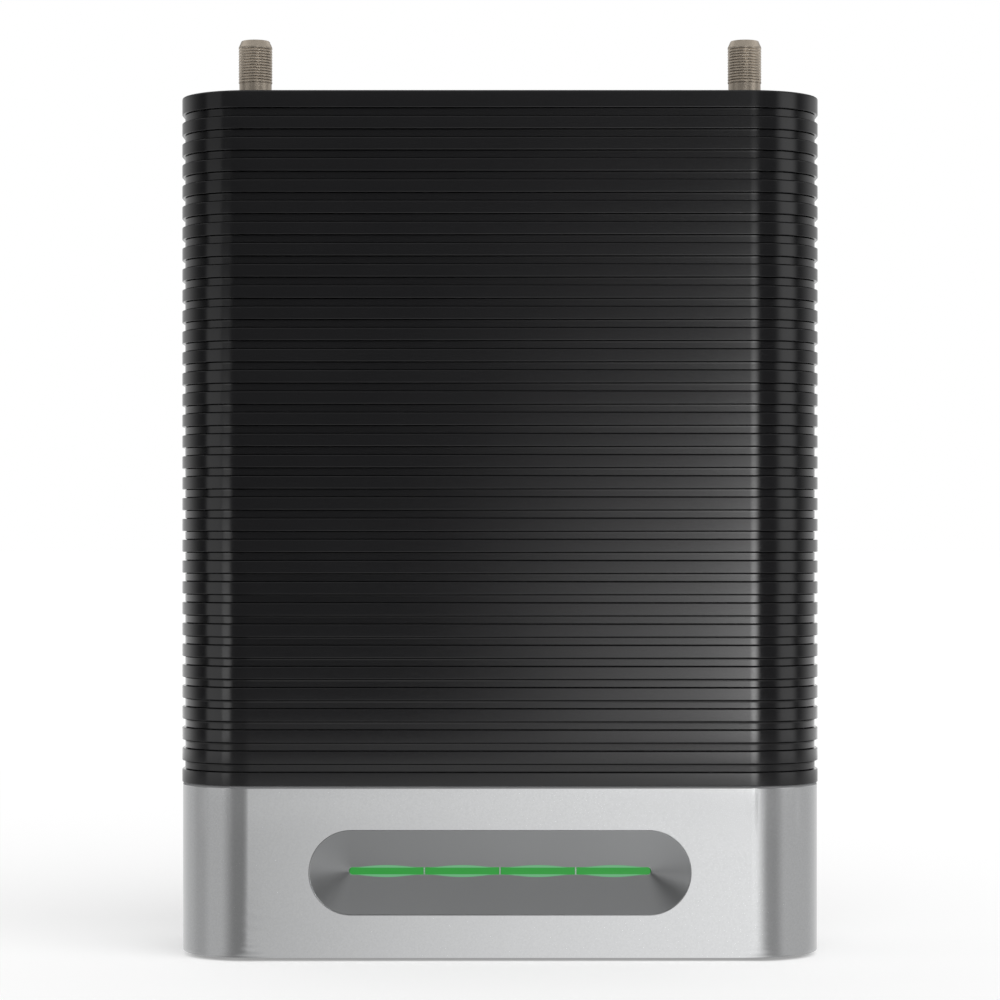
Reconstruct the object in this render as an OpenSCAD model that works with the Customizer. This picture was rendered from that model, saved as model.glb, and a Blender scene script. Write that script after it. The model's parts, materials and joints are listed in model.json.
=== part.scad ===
// Desktop and wall-mount cellular signal booster, 50 named pieces.
// Millimetres. +X is the right-hand side seen from the front, the front faces -Y, +Z is up.
// The origin lies under the middle of the body, on the surface that the feet stand on.

/* [Body] */
// Width over the ribs
body_w = 177.6; // [168:0.2:196]
// Depth over the ribs
body_d = 66; // [62:0.5:80]
// Radius of the body's upright corners
corner_r = 20; // [14:0.5:24]
// Wall behind the grooves
wall = 2.15; // [1.6:0.05:2.8]
// Thickness of the body's top
top_t = 2.5; // [2:0.1:4]
// Depth of the front housing, from its face to the joint with the rear housing
front_shell_d = 45; // [44:0.5:46]

/* [Ribs] */
// Height of the uppermost band
top_band = 4.75; // [3:0.25:10]
// Distance from one rib to the next
rib_pitch = 5.8; // [5.5:0.1:6.4]
// Number of grooves
groove_count = 32; // [30:1:36]
// Height of a groove
groove_h = 2.3; // [1.5:0.1:3.5]
// Depth of a groove
groove_d = 0.83; // [0.4:0.01:1.2]
// Height of the lowest band
low_band = 3.7; // [2:0.1:8]
// Half width of the plain field on the back
field_half_w = 66; // [62:0.5:68]

/* [Base] */
// Height of the silver base
base_h = 46.4; // [44:0.2:60]
// Set-back of the base from the ribs
base_inset = 0.5; // [0:0.1:1]
// Wall of the base
base_wall = 2.2; // [1.8:0.1:3]
// Thickness of the base's deck
deck_t = 2.2; // [1.8:0.1:3]
// Distance of the deck's window from the base's sides
deck_window_side = 34.3; // [28.3:0.5:48.3]
// Distance of the deck's window from the base's front and back
deck_window_end = 12.5; // [11.5:0.25:13.5]
// Height of the dark line between the ribbed body and the base
reveal_h = 0.7; // [0.4:0.1:2]
// Set-back of that line from the ribs
reveal_inset = 1; // [0.9:0.05:1.4]
// Thickness of the bottom plate
plate_t = 2.5; // [2.2:0.1:3.5]
// Set-back of the bottom plate from the base's lower edge
plate_recess = 0.4; // [0:0.1:1]
// Gap around the bottom plate
plate_gap = 0.3; // [0.2:0.05:0.6]

/* [Feet] */
// Radius of a foot
foot_r = 7; // [5:0.5:8]
// Height of a foot below the base
foot_h = 1; // [0.5:0.1:4]
// Depth of a foot's seat in the bottom plate
foot_seat = 0.8; // [0.4:0.1:1.2]
// Distance of the feet's middles from the bottom plate's sides
foot_side = 27.8; // [27.8:1:45.8]
// Distance of the feet's middles from the bottom plate's front and back
foot_end = 15; // [14.5:0.5:18]

/* [Light] */
// Width of the dished bezel
dish_w = 104.8; // [100:0.2:106]
// Height of the dished bezel
dish_h = 23.3; // [20:0.1:26]
// Depth of the dish
dish_depth = 5; // [3:0.1:6]
// Height of the dish's middle above the base's lower edge
dish_z = 23.35; // [22:0.05:25]
// Gap between the bezel and the base
bezel_gap = 0.1; // [0.05:0.05:0.3]
// Floor of the bezel behind the dish
bezel_floor_t = 1.5; // [1:0.1:2.5]
// Width of the bezel's flange outside the dish
flange_w = 4; // [2:0.5:5]
// Thickness of the bezel's flange
flange_t = 1.5; // [1:0.1:2]
// Length of the light bar
bar_w = 82.8; // [78:0.2:84]
// Height of the light bar
bar_h = 1.95; // [1.5:0.05:3]
// Width of the wall between two light segments
divider_w = 0.5; // [0.4:0.05:1]
// Gap around a light segment
light_gap = 0.05; // [0.02:0.01:0.1]
// Length of a light segment's foot behind the bezel
light_foot_l = 2.5; // [2:0.1:4]
// Extra width of a light segment's foot, each side
light_foot_w = 1; // [0.5:0.1:1.5]
// Distance between a light-emitting diode and its light segment
led_gap = 0.2; // [0.1:0.05:0.5]
// Thickness of a light-emitting diode
led_t = 1.2; // [0.8:0.1:1.6]
// Width of a light-emitting diode
led_w = 3.2; // [2:0.1:3.5]
// Width of the light board
led_board_w = 100; // [97:1:104]
// Height of the light board
led_board_h = 16; // [14:0.5:18]
// Distance of the light board's posts from the middle
led_post_x = 46; // [45:0.25:46.5]
// Radius of the light board's posts
led_post_r = 2.4; // [2:0.1:2.6]

/* [Ports] */
// Distance of a port's axis from the body's side
port_side = 19.4; // [18:0.2:22]
// Radius over the port's thread, 3/8 inch across
thread_r = 4.7625; // [4.7:0.0025:4.9]
// Depth of the thread
thread_depth = 0.35; // [0.2:0.05:0.5]
// Pitch of the thread, 32 to the inch
thread_pitch = 0.79375; // [0.7:0.00625:1]
// Share of the pitch that each flank takes
thread_flank = 0.3; // [0.2:0.05:0.35]
// Length of the thread outside, with the chamfered tip
thread_l = 12.1; // [9:0.1:16]
// Length of the chamfered tip
tip_l = 1.85; // [0.5:0.05:2]
// Radius of the tip's end
tip_r = 3.95; // [3.7:0.05:4.2]
// Length of the plain neck
neck_l = 3.7; // [1:0.1:6]
// Radius of the plain neck
neck_r = 4.58; // [4:0.02:4.7]
// Size across the flats of the port's hexagon, 7/16 inch
port_hex_af = 11.1; // [11:0.1:13]
// Thickness of the port's hexagon
port_hex_t = 2.4; // [1.5:0.1:4]
// Length of the port's threaded tail below the panel
port_tail_l = 8; // [6:0.5:9]
// Radius of the bore through the port's body
port_bore_r = 3.3; // [2.8:0.1:3.5]
// Distance from the tip down to the insulator
insulator_recess = 0.6; // [0.2:0.1:2]
// Radius of the centre contact
contact_r = 1.05; // [0.9:0.05:1.4]
// Radius of the hole that takes the cable's centre wire
wire_hole_r = 0.6; // [0.5:0.05:0.8]
// Depth of that hole in the contact
wire_hole_l = 8; // [5:0.5:12]
// Thickness of the insulator in front of the contact
insulator_face_t = 1; // [0.5:0.1:2]
// Running gap between a port's inner pieces
port_gap = 0.05; // [0.02:0.01:0.1]
// Radius of the port's washer
washer_r = 6.8; // [6.2:0.1:7.5]
// Thickness of the port's washer
washer_t = 0.6; // [0.4:0.1:1]
// Size across the flats of the port's nut, 1/2 inch
port_nut_af = 12.7; // [12:0.1:14]
// Thickness of the port's nut
port_nut_t = 2.5; // [1.5:0.1:3.5]
// Radius of the coaxial lead from a port to the board
lead_r = 1.2; // [0.8:0.05:1.5]
// Bend radius of that lead
lead_bend_r = 5; // [3:0.25:6]
// Straight length of that lead under the port
lead_drop = 7; // [5:0.25:8]

/* [Port panel] */
// Distance of the panel's visible face from the body's sides
panel_side = 10.8; // [9.8:0.2:11.8]
// Distance of the panel's visible face from the body's front and back
panel_end = 15; // [14:0.25:16]
// Corner radius of the panel
panel_r = 5; // [2:0.5:8]
// Thickness of the panel
panel_t = 4; // [3.5:0.1:5]
// Thickness of the panel's rim under the top
panel_rim_t = 2; // [1.5:0.1:2.5]
// Width of that rim
panel_rim_w = 3; // [2:0.25:4]
// Gap around the panel
panel_gap = 0.3; // [0.2:0.05:0.5]
// Thickness of the ledge that carries the panel
ledge_t = 1.6; // [1.2:0.1:2.5]
// Distance of that ledge's ends from the body's sides
ledge_side = 28.8; // [26.8:0.5:38.8]
// Gap around a port or jack in its hole
port_hole_gap = 0.25; // [0.1:0.05:0.4]

/* [Power jack] */
// Width of the jack
jack_w = 9; // [8.5:0.1:11]
// Depth of the jack
jack_d = 11; // [10:0.1:12]
// Length of the jack
jack_l = 14.5; // [13:0.5:16]
// Radius of the jack's socket, for a plug of 5.5 mm
jack_bore_r = 3; // [2.9:0.05:3.2]
// Depth of the jack's socket
jack_bore_l = 10; // [9:0.5:11]
// Radius of the jack's centre pin, for a plug with a hole of 2.1 mm
jack_pin_r = 1; // [0.9:0.05:1.25]
// Radius of the pin's root, inside the jack's end
jack_root_r = 1.3; // [1.3:0.05:1.6]
// Distance from the jack's mouth down to the pin
jack_pin_recess = 1.5; // [1:0.1:3]
// Width of the jack's collar under the panel
jack_collar_w = 2; // [1:0.1:3]
// Thickness of the jack's collar
jack_collar_t = 2; // [1:0.1:3]
// Width of a jack terminal
terminal_w = 2; // [1:0.1:3]
// Thickness of a jack terminal
terminal_t = 0.6; // [0.4:0.05:1]
// Distance between the jack's two terminals
terminal_dx = 3; // [3:0.1:3.5]
// Length of a terminal that lies on the board
terminal_lap = 3; // [2:0.25:4]
// Height of the sleeve's terminal above the jack's end
spring_lift = 2; // [1:0.25:4]

/* [Boards] */
// Thickness of the circuit boards
board_t = 1.6; // [1.2:0.1:2]
// Gap between the main board and the side walls
board_side_gap = 9.8; // [8:0.2:11]
// Space between the main board and what lies above or below it
board_end_gap = 2.5; // [2:0.25:4]
// Distance from the rear wall to the main board
board_post_l = 17; // [16.5:0.1:17.5]
// Radius of the main board's posts
board_post_r = 3.5; // [3:0.1:3.6]
// Distance of the posts' axes from the board's sides
board_post_inset = 6; // [5:0.25:7]
// Distance of the lower posts' axes from the board's lower edge
board_post_low = 8; // [6:0.5:9]
// Distance of the upper posts' axes from the board's upper edge
board_post_top = 18; // [16:0.5:22]
// Width of a shield
shield_w = 58; // [50:1:60]
// Height of a shield on the board
shield_h = 110; // [100:1:114]
// Distance from the board to a shield's lid
shield_d = 6; // [5:0.5:8]
// Wall of a shield
shield_t = 0.5; // [0.3:0.05:0.8]
// Distance of a shield's axis from the middle
shield_x = 33; // [31:0.5:36]
// Gap between a shield's lid and its frame
lid_gap = 0.1; // [0.05:0.05:0.2]
// Length of the lid's skirt
lid_skirt = 2.5; // [1.5:0.25:4]
// Width of a duplexer
duplexer_w = 9; // [6:0.5:10]
// Height of a duplexer
duplexer_h = 7; // [5:0.5:9]
// Thickness of a duplexer
duplexer_t = 3; // [1.5:0.25:4]
// Distance from one duplexer to the next
duplexer_pitch = 18; // [14:0.5:20]
// Distance of the duplexers from their shield's axis
duplexer_dx = 12; // [10:0.5:18]
// Number of duplexers under a shield
duplexer_count = 5; // [2:1:5]
// Width of a power amplifier
amplifier_w = 8; // [5:0.5:10]
// Distance of the power amplifiers from their shield's axis
amplifier_dx = 6; // [4:0.5:8]
// Thickness of a power amplifier
amplifier_t = 1.5; // [1:0.1:2.5]
// Distance between a chain's two power amplifiers
amplifier_pitch = 44; // [30:1:60]
// Width of a gain chip
gain_chip_w = 4; // [3:0.5:6]
// Distance of the gain chips from their shield's axis
gain_chip_dx = 20; // [16:0.5:22]
// Thickness of a gain chip
gain_chip_t = 0.9; // [0.7:0.1:1.5]
// Width of the controller chip
controller_w = 12; // [10:0.5:14]
// Distance of the controller chip from the middle
controller_x = 23; // [18:0.5:24]
// Height of the controller chip's and capacitors' middles above the shields
upper_row_lift = 8.6; // [7:0.2:10]
// Thickness of the controller chip
controller_t = 1.2; // [0.8:0.1:2]
// Width of an inductor
inductor_w = 9; // [6:0.5:10]
// Distance of the inductors from the middle
inductor_x = 22; // [18:0.5:26]
// Distance of the inductors from the board's lower edge
inductor_lift = 10; // [8:0.5:13]
// Thickness of an inductor
inductor_t = 5; // [3:0.5:7]
// Radius of a capacitor
capacitor_r = 4; // [3:0.25:5]
// Length of a capacitor
capacitor_l = 10; // [6:0.5:14]
// Distance of the first capacitor from the middle
capacitor_x = 3; // [2:0.25:4]
// Distance from one capacitor to the next
capacitor_pitch = 11; // [10.5:0.25:12]

/* [Heat sink] */
// Half width of the heat sink
sink_half_w = 42; // [38:0.5:43]
// Thickness of the heat sink's plate
sink_t = 3; // [2:0.25:4]
// Distance from the main board to the heat sink's plate
sink_standoff = 5; // [4:0.25:6]
// Space between the fins and the rear wall
fin_gap = 0.9; // [0.3:0.1:2]
// Thickness of a fin
fin_t = 1.5; // [1:0.1:2]
// Number of fins
fin_count = 13; // [8:1:18]
// Distance of the heat sink from the board's upper and lower edges
sink_end = 4; // [3:0.5:6]
// Radius of the heat sink's pillars
sink_pillar_r = 3.2; // [2.8:0.1:4]
// Distance of the pillars' axes from the heat sink's edges
sink_pillar_inset = 5; // [4:0.25:6]
// Width of a thermal pad
pad_w = 16; // [10:0.5:20]
// Thickness of a thermal pad
pad_t = 0.5; // [0.3:0.1:1]

/* [Ribbon] */
// Width of the ribbon cable
ribbon_w = 10; // [6:0.5:12]
// Thickness of the ribbon cable
ribbon_t = 0.8; // [0.6:0.1:1.2]
// Bend radius of the ribbon cable, at its middle
ribbon_bend_r = 4; // [3:0.25:5]
// Height of the ribbon cable's level run above the deck
ribbon_lift = 5; // [4:0.5:6]
// Thickness of a ribbon socket
socket_t = 5; // [4:0.25:5.5]
// Height of the light board's socket above the dish's middle
led_socket_lift = 1; // [0:0.25:2]
// Height of a ribbon socket on its board
socket_h = 6; // [5:0.25:6.5]
// Extra width of a ribbon socket
socket_extra_w = 4; // [2:0.5:6]

/* [Wall mount] */
// Distance between the keyholes, sideways
keyhole_dx = 108; // [106:1:110]
// Distance between the keyholes, up and down
keyhole_dz = 110; // [100:1:120]
// Radius of a keyhole's round end
keyhole_r = 4.75; // [4.25:0.05:5]
// Radius of a keyhole's slot
keyhole_slot_r = 2.25; // [2:0.05:2.4]
// Height of a keyhole's slot above its round end
keyhole_slot_l = 8; // [7:0.25:9]
// Room for the screw's head behind the wall
keyhole_room = 4; // [3:0.25:4.5]
// Wall around that room
keyhole_wall = 1.5; // [1:0.1:2]
// Gap between the screw's head and the sides of that room
keyhole_side_gap = 1.5; // [1:0.1:2]

/* [Vents] */
// Width of a vent slot
vent_w = 2.6; // [1.5:0.1:3.5]
// Height of a vent slot
vent_h = 36; // [20:1:50]
// Distance from one vent slot to the next
vent_pitch = 8; // [6:0.25:9]
// Number of vent slots in a row
vent_count = 9; // [3:2:9]
// Distance between the two rows of vent slots
vent_row_dz = 66; // [56:1:80]

/* [Fasteners] */
// Radius of a screw's shank
screw_r = 1.5; // [1.3:0.05:1.6]
// Radius of a screw's head
screw_head_r = 2.8; // [2.4:0.1:3]
// Height of a screw's head
screw_head_h = 1.8; // [1.6:0.1:2]
// Width of the cross recess in a screw's head
screw_slot_w = 0.9; // [0.6:0.1:1.2]
// Length of the cross recess
screw_slot_l = 3.6; // [3:0.1:4.4]
// Depth of the cross recess
screw_slot_d = 0.9; // [0.6:0.1:1.2]
// Clearance of a screw's shank in a through hole
screw_free = 0.25; // [0.1:0.05:0.4]
// Gap around a screw's shank in its pilot hole
screw_bite = 0.05; // [0.02:0.01:0.1]
// Length of a short screw's shank
short_screw_l = 7; // [6:0.25:8]
// Length of a case screw's shank
case_screw_l = 30; // [26:1:34]
// Depth of the head's seat below the back
case_head_depth = 6; // [4:0.25:8]
// Radius of a case screw's boss in the front housing
case_boss_r = 3.6; // [3.5:0.1:4]
// Wall around a case screw's head in the rear housing
case_head_wall = 1.5; // [1:0.1:2]
// Distance of the upper case screws from the middle
case_top_x = 50; // [46:1:52]
// Distance of the lower case screws from the middle
case_low_x = 60; // [58:0.5:62]
// Height of the lower case screws above the base
case_low_lift = 8.6; // [8:0.1:12]
// Radius of a deck screw's boss
deck_boss_r = 3.2; // [3:0.1:3.6]
// Height of a deck screw's boss
deck_boss_h = 14; // [10:0.5:16]
// Distance of the deck screws from the cavity's sides
deck_screw_side = 13.8; // [13:0.2:15]
// Distance of the deck screws from the front and back of the cavity
deck_screw_back = 4; // [3.8:0.1:4.5]
// Distance of the bottom plate's screws from the plate's sides
plate_screw_side = 12; // [10:0.5:13]
// Distance of the bottom plate's screws from the plate's front and back
plate_screw_end = 13; // [12:0.5:15]
// Radius of the bottom plate's posts
plate_post_r = 3.5; // [3.2:0.1:4]

/* [Hidden] */
$fn = 48;

// Cutters run this far past a face that they open
past = 1;

// Heights
deck_z = foot_h + base_h;
stack_z = deck_z + reveal_h;
stack_h = top_band + (groove_count - 1) * rib_pitch + groove_h + low_band;
top_z = stack_z + stack_h;
roof_z = top_z - top_t;
panel_z = roof_z - panel_rim_t;
panel_top_z = panel_z + panel_t;
base_z = foot_h;
plate_z = base_z + plate_recess;
plate_top_z = plate_z + plate_t;

// The housings' cavity
skin = wall + groove_d;
cavity_w = body_w - 2 * skin;
cavity_d = body_d - 2 * skin;
front_y = -body_d / 2;
rear_y = body_d / 2;
joint_y = front_y + front_shell_d;
rear_in_y = cavity_d / 2;

// The port panel
panel_half_w = body_w / 2 - panel_side;
panel_half_d = body_d / 2 - panel_end;
ledge_half_w = body_w / 2 - ledge_side;

// The base
base_w = body_w - 2 * base_inset;
base_d = body_d - 2 * base_inset;
base_r = corner_r - base_inset;
base_front_y = -base_d / 2;
base_in_w = base_w - 2 * base_wall;
base_in_d = base_d - 2 * base_wall;
base_in_r = base_r - base_wall;
plate_w = base_in_w - 2 * plate_gap;
plate_d = base_in_d - 2 * plate_gap;
foot_x = plate_w / 2 - foot_side;
foot_y = plate_d / 2 - foot_end;
deck_window_half_w = base_w / 2 - deck_window_side;
deck_window_half_d = base_d / 2 - deck_window_end;

// Case screws
case_hole_r = screw_head_r + screw_free;
case_post_r = case_hole_r + case_head_wall;
case_top_z = panel_z - panel_gap - case_post_r;
case_low_z = deck_z + case_low_lift;
case_seat_y = rear_y - case_head_depth;
deck_screw_x = cavity_w / 2 - deck_screw_side;
deck_screw_y = cavity_d / 2 - deck_screw_back;
plate_screw_x = plate_w / 2 - plate_screw_side;
plate_screw_y = plate_d / 2 - plate_screw_end;
pilot_r = screw_r + screw_bite;
hole_r = screw_r + screw_free;

// Main board
board_w = cavity_w - 2 * board_side_gap;
board_z = case_low_z + case_post_r + board_end_gap;
board_top_z = case_top_z - case_post_r - board_end_gap;
board_h = board_top_z - board_z;
board_rear_y = rear_in_y - board_post_l;
board_front_y = board_rear_y - board_t;
board_post_x = board_w / 2 - board_post_inset;
board_mid_z = (board_z + board_top_z) / 2;
board_post_z = [board_z + board_post_low, board_mid_z, board_top_z - board_post_top];
amplifier_x = shield_x - amplifier_dx;
upper_row_z = board_mid_z + shield_h / 2 + upper_row_lift;

// Heat sink
sink_y = board_rear_y + sink_standoff;
sink_z = board_z + sink_end;
sink_h = board_h - 2 * sink_end;
sink_pillar_x = sink_half_w - sink_pillar_inset;
sink_pillar_z = [sink_z + sink_pillar_inset, sink_z + sink_h - sink_pillar_inset];

// Ports
port_x = body_w / 2 - port_side;
washer_z = panel_top_z;
hex_z = washer_z + washer_t;
neck_z = hex_z + port_hex_t;
thread_z = neck_z + neck_l;
tip_z = thread_z + thread_l;
tail_z = panel_z - port_tail_l;
insulator_z = tip_z - insulator_recess;
contact_z = insulator_z - insulator_face_t;

// Power jack
jack_z = panel_top_z - jack_l;
spring_z = jack_z + spring_lift;

// Light
dish_mid_z = base_z + dish_z;
dish_floor_y = base_front_y + dish_depth;
bezel_rear_y = dish_floor_y + bezel_floor_t;
flange_y = base_front_y + base_wall;
light_rear_y = bezel_rear_y + light_foot_l;
led_board_y = light_rear_y + led_gap + led_t;
led_board_rear_y = led_board_y + board_t;
segment_pitch = (bar_w + divider_w) / 4;

// Ribbon
led_socket_z = dish_mid_z + led_socket_lift;
board_socket_z = board_z + board_end_gap;
ribbon_low_y = led_board_rear_y + socket_t / 2;
ribbon_high_y = board_front_y - socket_t / 2;
ribbon_z = deck_z + ribbon_lift;

// Wall mount
keyhole_z = board_mid_z - keyhole_dz / 2;
room_w = 2 * (keyhole_r + keyhole_side_gap);

// ---- Outlines and shared shapes ----

module round_rect(w, d, r) {
    square([w - 2 * r, d], center = true);
    square([w, d - 2 * r], center = true);
    for (x = [-1, 1])
        for (y = [-1, 1])
            translate([x * (w / 2 - r), y * (d / 2 - r)])
                circle(r, $fn = 96);
}

// The body's outline, set back by a distance
module body_outline(inset) {
    round_rect(body_w - 2 * inset, body_d - 2 * inset, corner_r - inset);
}

module stadium(w, h) {
    square([w - h, h], center = true);
    for (x = [-1, 1])
        translate([x * (w - h) / 2, 0])
            circle(h / 2, $fn = 96);
}

// A prism with its outline in the XZ plane, from y0 back to y1
module back_to(y0, y1) {
    translate([0, y1, 0])
        rotate([90, 0, 0])
            linear_extrude(y1 - y0)
                children();
}

// A cylinder along Y, from y0 back to y1
module rod_y(x, y0, y1, z, r) {
    translate([x, y0, z])
        rotate([-90, 0, 0])
            cylinder(h = y1 - y0, r = r);
}

module mirror_x() {
    children();
    mirror([1, 0, 0])
        children();
}

module mirror_y() {
    children();
    mirror([0, 1, 0])
        children();
}

// A pan-head screw: shank from z = 0 down, head from z = 0 up, with a cross recess
module screw(l) {
    difference() {
        union() {
            translate([0, 0, -l])
                cylinder(h = l, r = screw_r);
            cylinder(h = screw_head_h, r = screw_head_r);
        }
        translate([0, 0, screw_head_h])
            for (a = [0, 90])
                rotate(a)
                    cube([screw_slot_l, screw_slot_w, 2 * screw_slot_d], center = true);
    }
}

// A hexagon by its size across the flats
module hexagon(af) {
    circle(af / sqrt(3), $fn = 6);
}

// A block on the main board's front face, centred on x and z
module on_board(x, z, w, h, t) {
    translate([x - w / 2, board_front_y - t, z - h / 2])
        cube([w, t, h]);
}

// ---- Housings ----

// The ribbed skin with its lip and cavity, whole, before it is split in two
module housing_skin() {
    difference() {
        union() {
            translate([0, 0, stack_z])
                linear_extrude(stack_h)
                    body_outline(0);
            translate([0, 0, deck_z])
                linear_extrude(reveal_h)
                    body_outline(reveal_inset);
        }
        translate([0, 0, deck_z - past])
            linear_extrude(roof_z - deck_z + past)
                body_outline(skin);
        translate([0, 0, roof_z - past])
            linear_extrude(top_t + 2 * past)
                round_rect(2 * panel_half_w, 2 * panel_half_d, panel_r);
    }
}

module grooves(keep_field) {
    for (i = [0 : groove_count - 1])
        translate([0, 0, stack_z + low_band + i * rib_pitch])
            linear_extrude(groove_h)
                difference() {
                    square([body_w + 2 * past, body_d + 2 * past], center = true);
                    body_outline(groove_d);
                    if (keep_field)
                        translate([-field_half_w, 0])
                            square([2 * field_half_w, body_d]);
                }
}

module before_joint() {
    translate([-body_w, -body_d, 0])
        cube([2 * body_w, body_d + joint_y, 2 * top_z]);
}

module behind_joint() {
    translate([-body_w, joint_y, 0])
        cube([2 * body_w, body_d, 2 * top_z]);
}

// Everything inside the middle of the wall, so that no boss comes through the skin
module core() {
    translate([0, 0, deck_z])
        linear_extrude(roof_z - deck_z)
            body_outline(skin - wall / 2);
}

module case_screw_places() {
    mirror_x() {
        translate([case_top_x, 0, case_top_z])
            children();
        translate([case_low_x, 0, case_low_z])
            children();
    }
}

// One side's deck bosses, with the rib that ties each to the wall
module deck_bosses() {
    mirror_x()
        translate([deck_screw_x, 0, deck_z]) {
            translate([0, deck_screw_y, 0])
                cylinder(h = deck_boss_h, r = deck_boss_r);
            translate([-deck_boss_r / 2, deck_screw_y, 0])
                cube([deck_boss_r, deck_screw_back + wall, deck_boss_h]);
        }
}

module deck_pilots() {
    mirror_x()
        translate([deck_screw_x, deck_screw_y, deck_z - past])
            cylinder(h = deck_boss_h + past - deck_t, r = pilot_r);
}

// The ledge under the panel's rim, on the rear side
module panel_ledge() {
    translate([-ledge_half_w, panel_half_d + panel_gap, panel_z - ledge_t])
        cube([2 * ledge_half_w, body_d / 2, ledge_t]);
}

module front_housing() {
    color("#1e1e1e")
        difference() {
            union() {
                intersection() {
                    housing_skin();
                    before_joint();
                }
                intersection() {
                    core();
                    union() {
                        case_screw_places()
                            rod_y(0, front_y, joint_y, 0, case_boss_r);
                        mirror([0, 1, 0]) {
                            deck_bosses();
                            panel_ledge();
                        }
                    }
                }
            }
            grooves(false);
            case_screw_places()
                rod_y(0, case_seat_y - case_screw_l - past, joint_y + past, 0, pilot_r);
            mirror([0, 1, 0])
                deck_pilots();
        }
}

// Room for a wall screw's head behind a keyhole, with its wall or as the hollow
module keyhole_box(grow) {
    w = room_w + 2 * grow;
    h = room_w + keyhole_slot_l + 2 * grow;
    translate([-w / 2, rear_in_y - keyhole_room - grow, -room_w / 2 - grow])
        cube([w, keyhole_room + grow, h]);
}

module keyhole_cut() {
    rod_y(0, rear_in_y - past / 2, rear_y + past, 0, keyhole_r);
    rod_y(0, rear_in_y - past / 2, rear_y + past, keyhole_slot_l, keyhole_slot_r);
    translate([-keyhole_slot_r, rear_in_y - past / 2, 0])
        cube([2 * keyhole_slot_r, skin + 1.5 * past, keyhole_slot_l]);
}

module keyhole_places() {
    mirror_x()
        for (z = [0, keyhole_dz])
            translate([keyhole_dx / 2, 0, keyhole_z + z])
                children();
}

module vent_slot() {
    back_to(rear_in_y - past, rear_y + past)
        rotate(90)
            stadium(vent_h, vent_w);
}

module vents() {
    for (row = [-0.5, 0.5])
        for (i = [0 : vent_count - 1])
            translate([(i - (vent_count - 1) / 2) * vent_pitch, 0, board_mid_z + row * vent_row_dz])
                vent_slot();
}

module board_post_places() {
    mirror_x()
        for (z = board_post_z)
            translate([board_post_x, 0, z])
                children();
}

module rear_housing() {
    color("#1e1e1e")
        difference() {
            union() {
                intersection() {
                    housing_skin();
                    behind_joint();
                }
                intersection() {
                    core();
                    union() {
                        case_screw_places()
                            rod_y(0, joint_y, rear_y, 0, case_post_r);
                        board_post_places()
                            rod_y(0, board_rear_y, rear_y, 0, board_post_r);
                        deck_bosses();
                        panel_ledge();
                        keyhole_places()
                            keyhole_box(keyhole_wall);
                    }
                }
            }
            grooves(true);
            case_screw_places() {
                rod_y(0, joint_y - past, rear_y + past, 0, hole_r);
                rod_y(0, case_seat_y, rear_y + past, 0, case_hole_r);
            }
            board_post_places()
                rod_y(0, board_rear_y - past, board_rear_y + short_screw_l, 0, pilot_r);
            deck_pilots();
            keyhole_places() {
                keyhole_box(0);
                keyhole_cut();
            }
            vents();
        }
}

// ---- Port panel ----

module port_panel() {
    color("#2a2a2b")
        difference() {
            union() {
                translate([0, 0, panel_z])
                    linear_extrude(panel_rim_t)
                        round_rect(
                            2 * (panel_half_w + panel_rim_w),
                            2 * (panel_half_d + panel_rim_w),
                            panel_r + panel_rim_w);
                translate([0, 0, panel_z])
                    linear_extrude(panel_t)
                        round_rect(
                            2 * (panel_half_w - panel_gap),
                            2 * (panel_half_d - panel_gap),
                            panel_r - panel_gap);
            }
            mirror_x()
                translate([port_x, 0, panel_z - past])
                    cylinder(h = panel_t + 2 * past, r = thread_r + port_hole_gap);
            translate([0, 0, panel_z - past])
                linear_extrude(panel_t + 2 * past)
                    square([jack_w + 2 * port_hole_gap, jack_d + 2 * port_hole_gap], center = true);
        }
}

// ---- Base ----

module deck_screw_places() {
    mirror_x()
        mirror_y()
            translate([deck_screw_x, deck_screw_y, 0])
                children();
}

module plate_screw_places() {
    mirror_x()
        mirror_y()
            translate([plate_screw_x, plate_screw_y, 0])
                children();
}

module base_shell() {
    color("#c6c8ca")
        difference() {
            union() {
                difference() {
                    translate([0, 0, base_z])
                        linear_extrude(base_h)
                            round_rect(base_w, base_d, base_r);
                    translate([0, 0, base_z - past])
                        linear_extrude(base_h - deck_t + past)
                            round_rect(base_in_w, base_in_d, base_in_r);
                }
                plate_screw_places()
                    translate([0, 0, plate_top_z])
                        cylinder(h = deck_z - plate_top_z, r = plate_post_r);
            }
            translate([0, 0, deck_z - deck_t / 2])
                cube([2 * deck_window_half_w, 2 * deck_window_half_d, deck_t + 2 * past], center = true);
            deck_screw_places()
                translate([0, 0, deck_z - deck_t - past])
                    cylinder(h = deck_t + 2 * past, r = hole_r);
            plate_screw_places()
                translate([0, 0, plate_top_z - past])
                    cylinder(h = short_screw_l + past, r = pilot_r);
            translate([0, 0, dish_mid_z])
                back_to(base_front_y - past, flange_y + past)
                    stadium(dish_w + 2 * bezel_gap, dish_h + 2 * bezel_gap);
        }
}

module foot_places() {
    mirror_x()
        mirror_y()
            translate([foot_x, foot_y, 0])
                children();
}

module base_plate() {
    color("#2a2a2b")
        difference() {
            translate([0, 0, plate_z])
                linear_extrude(plate_t)
                    round_rect(plate_w, plate_d, base_in_r - plate_gap);
            plate_screw_places()
                translate([0, 0, plate_z - past]) {
                    cylinder(h = plate_t + 2 * past, r = hole_r);
                    cylinder(h = screw_head_h + past, r = screw_head_r + screw_free);
                }
            foot_places()
                translate([0, 0, plate_z - past])
                    cylinder(h = foot_seat + past, r = foot_r);
        }
}

module foot(side, end) {
    color("#333333")
        translate([side * foot_x, end * foot_y, 0])
            cylinder(h = plate_z + foot_seat, r = foot_r);
}

// ---- Light ----

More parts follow.
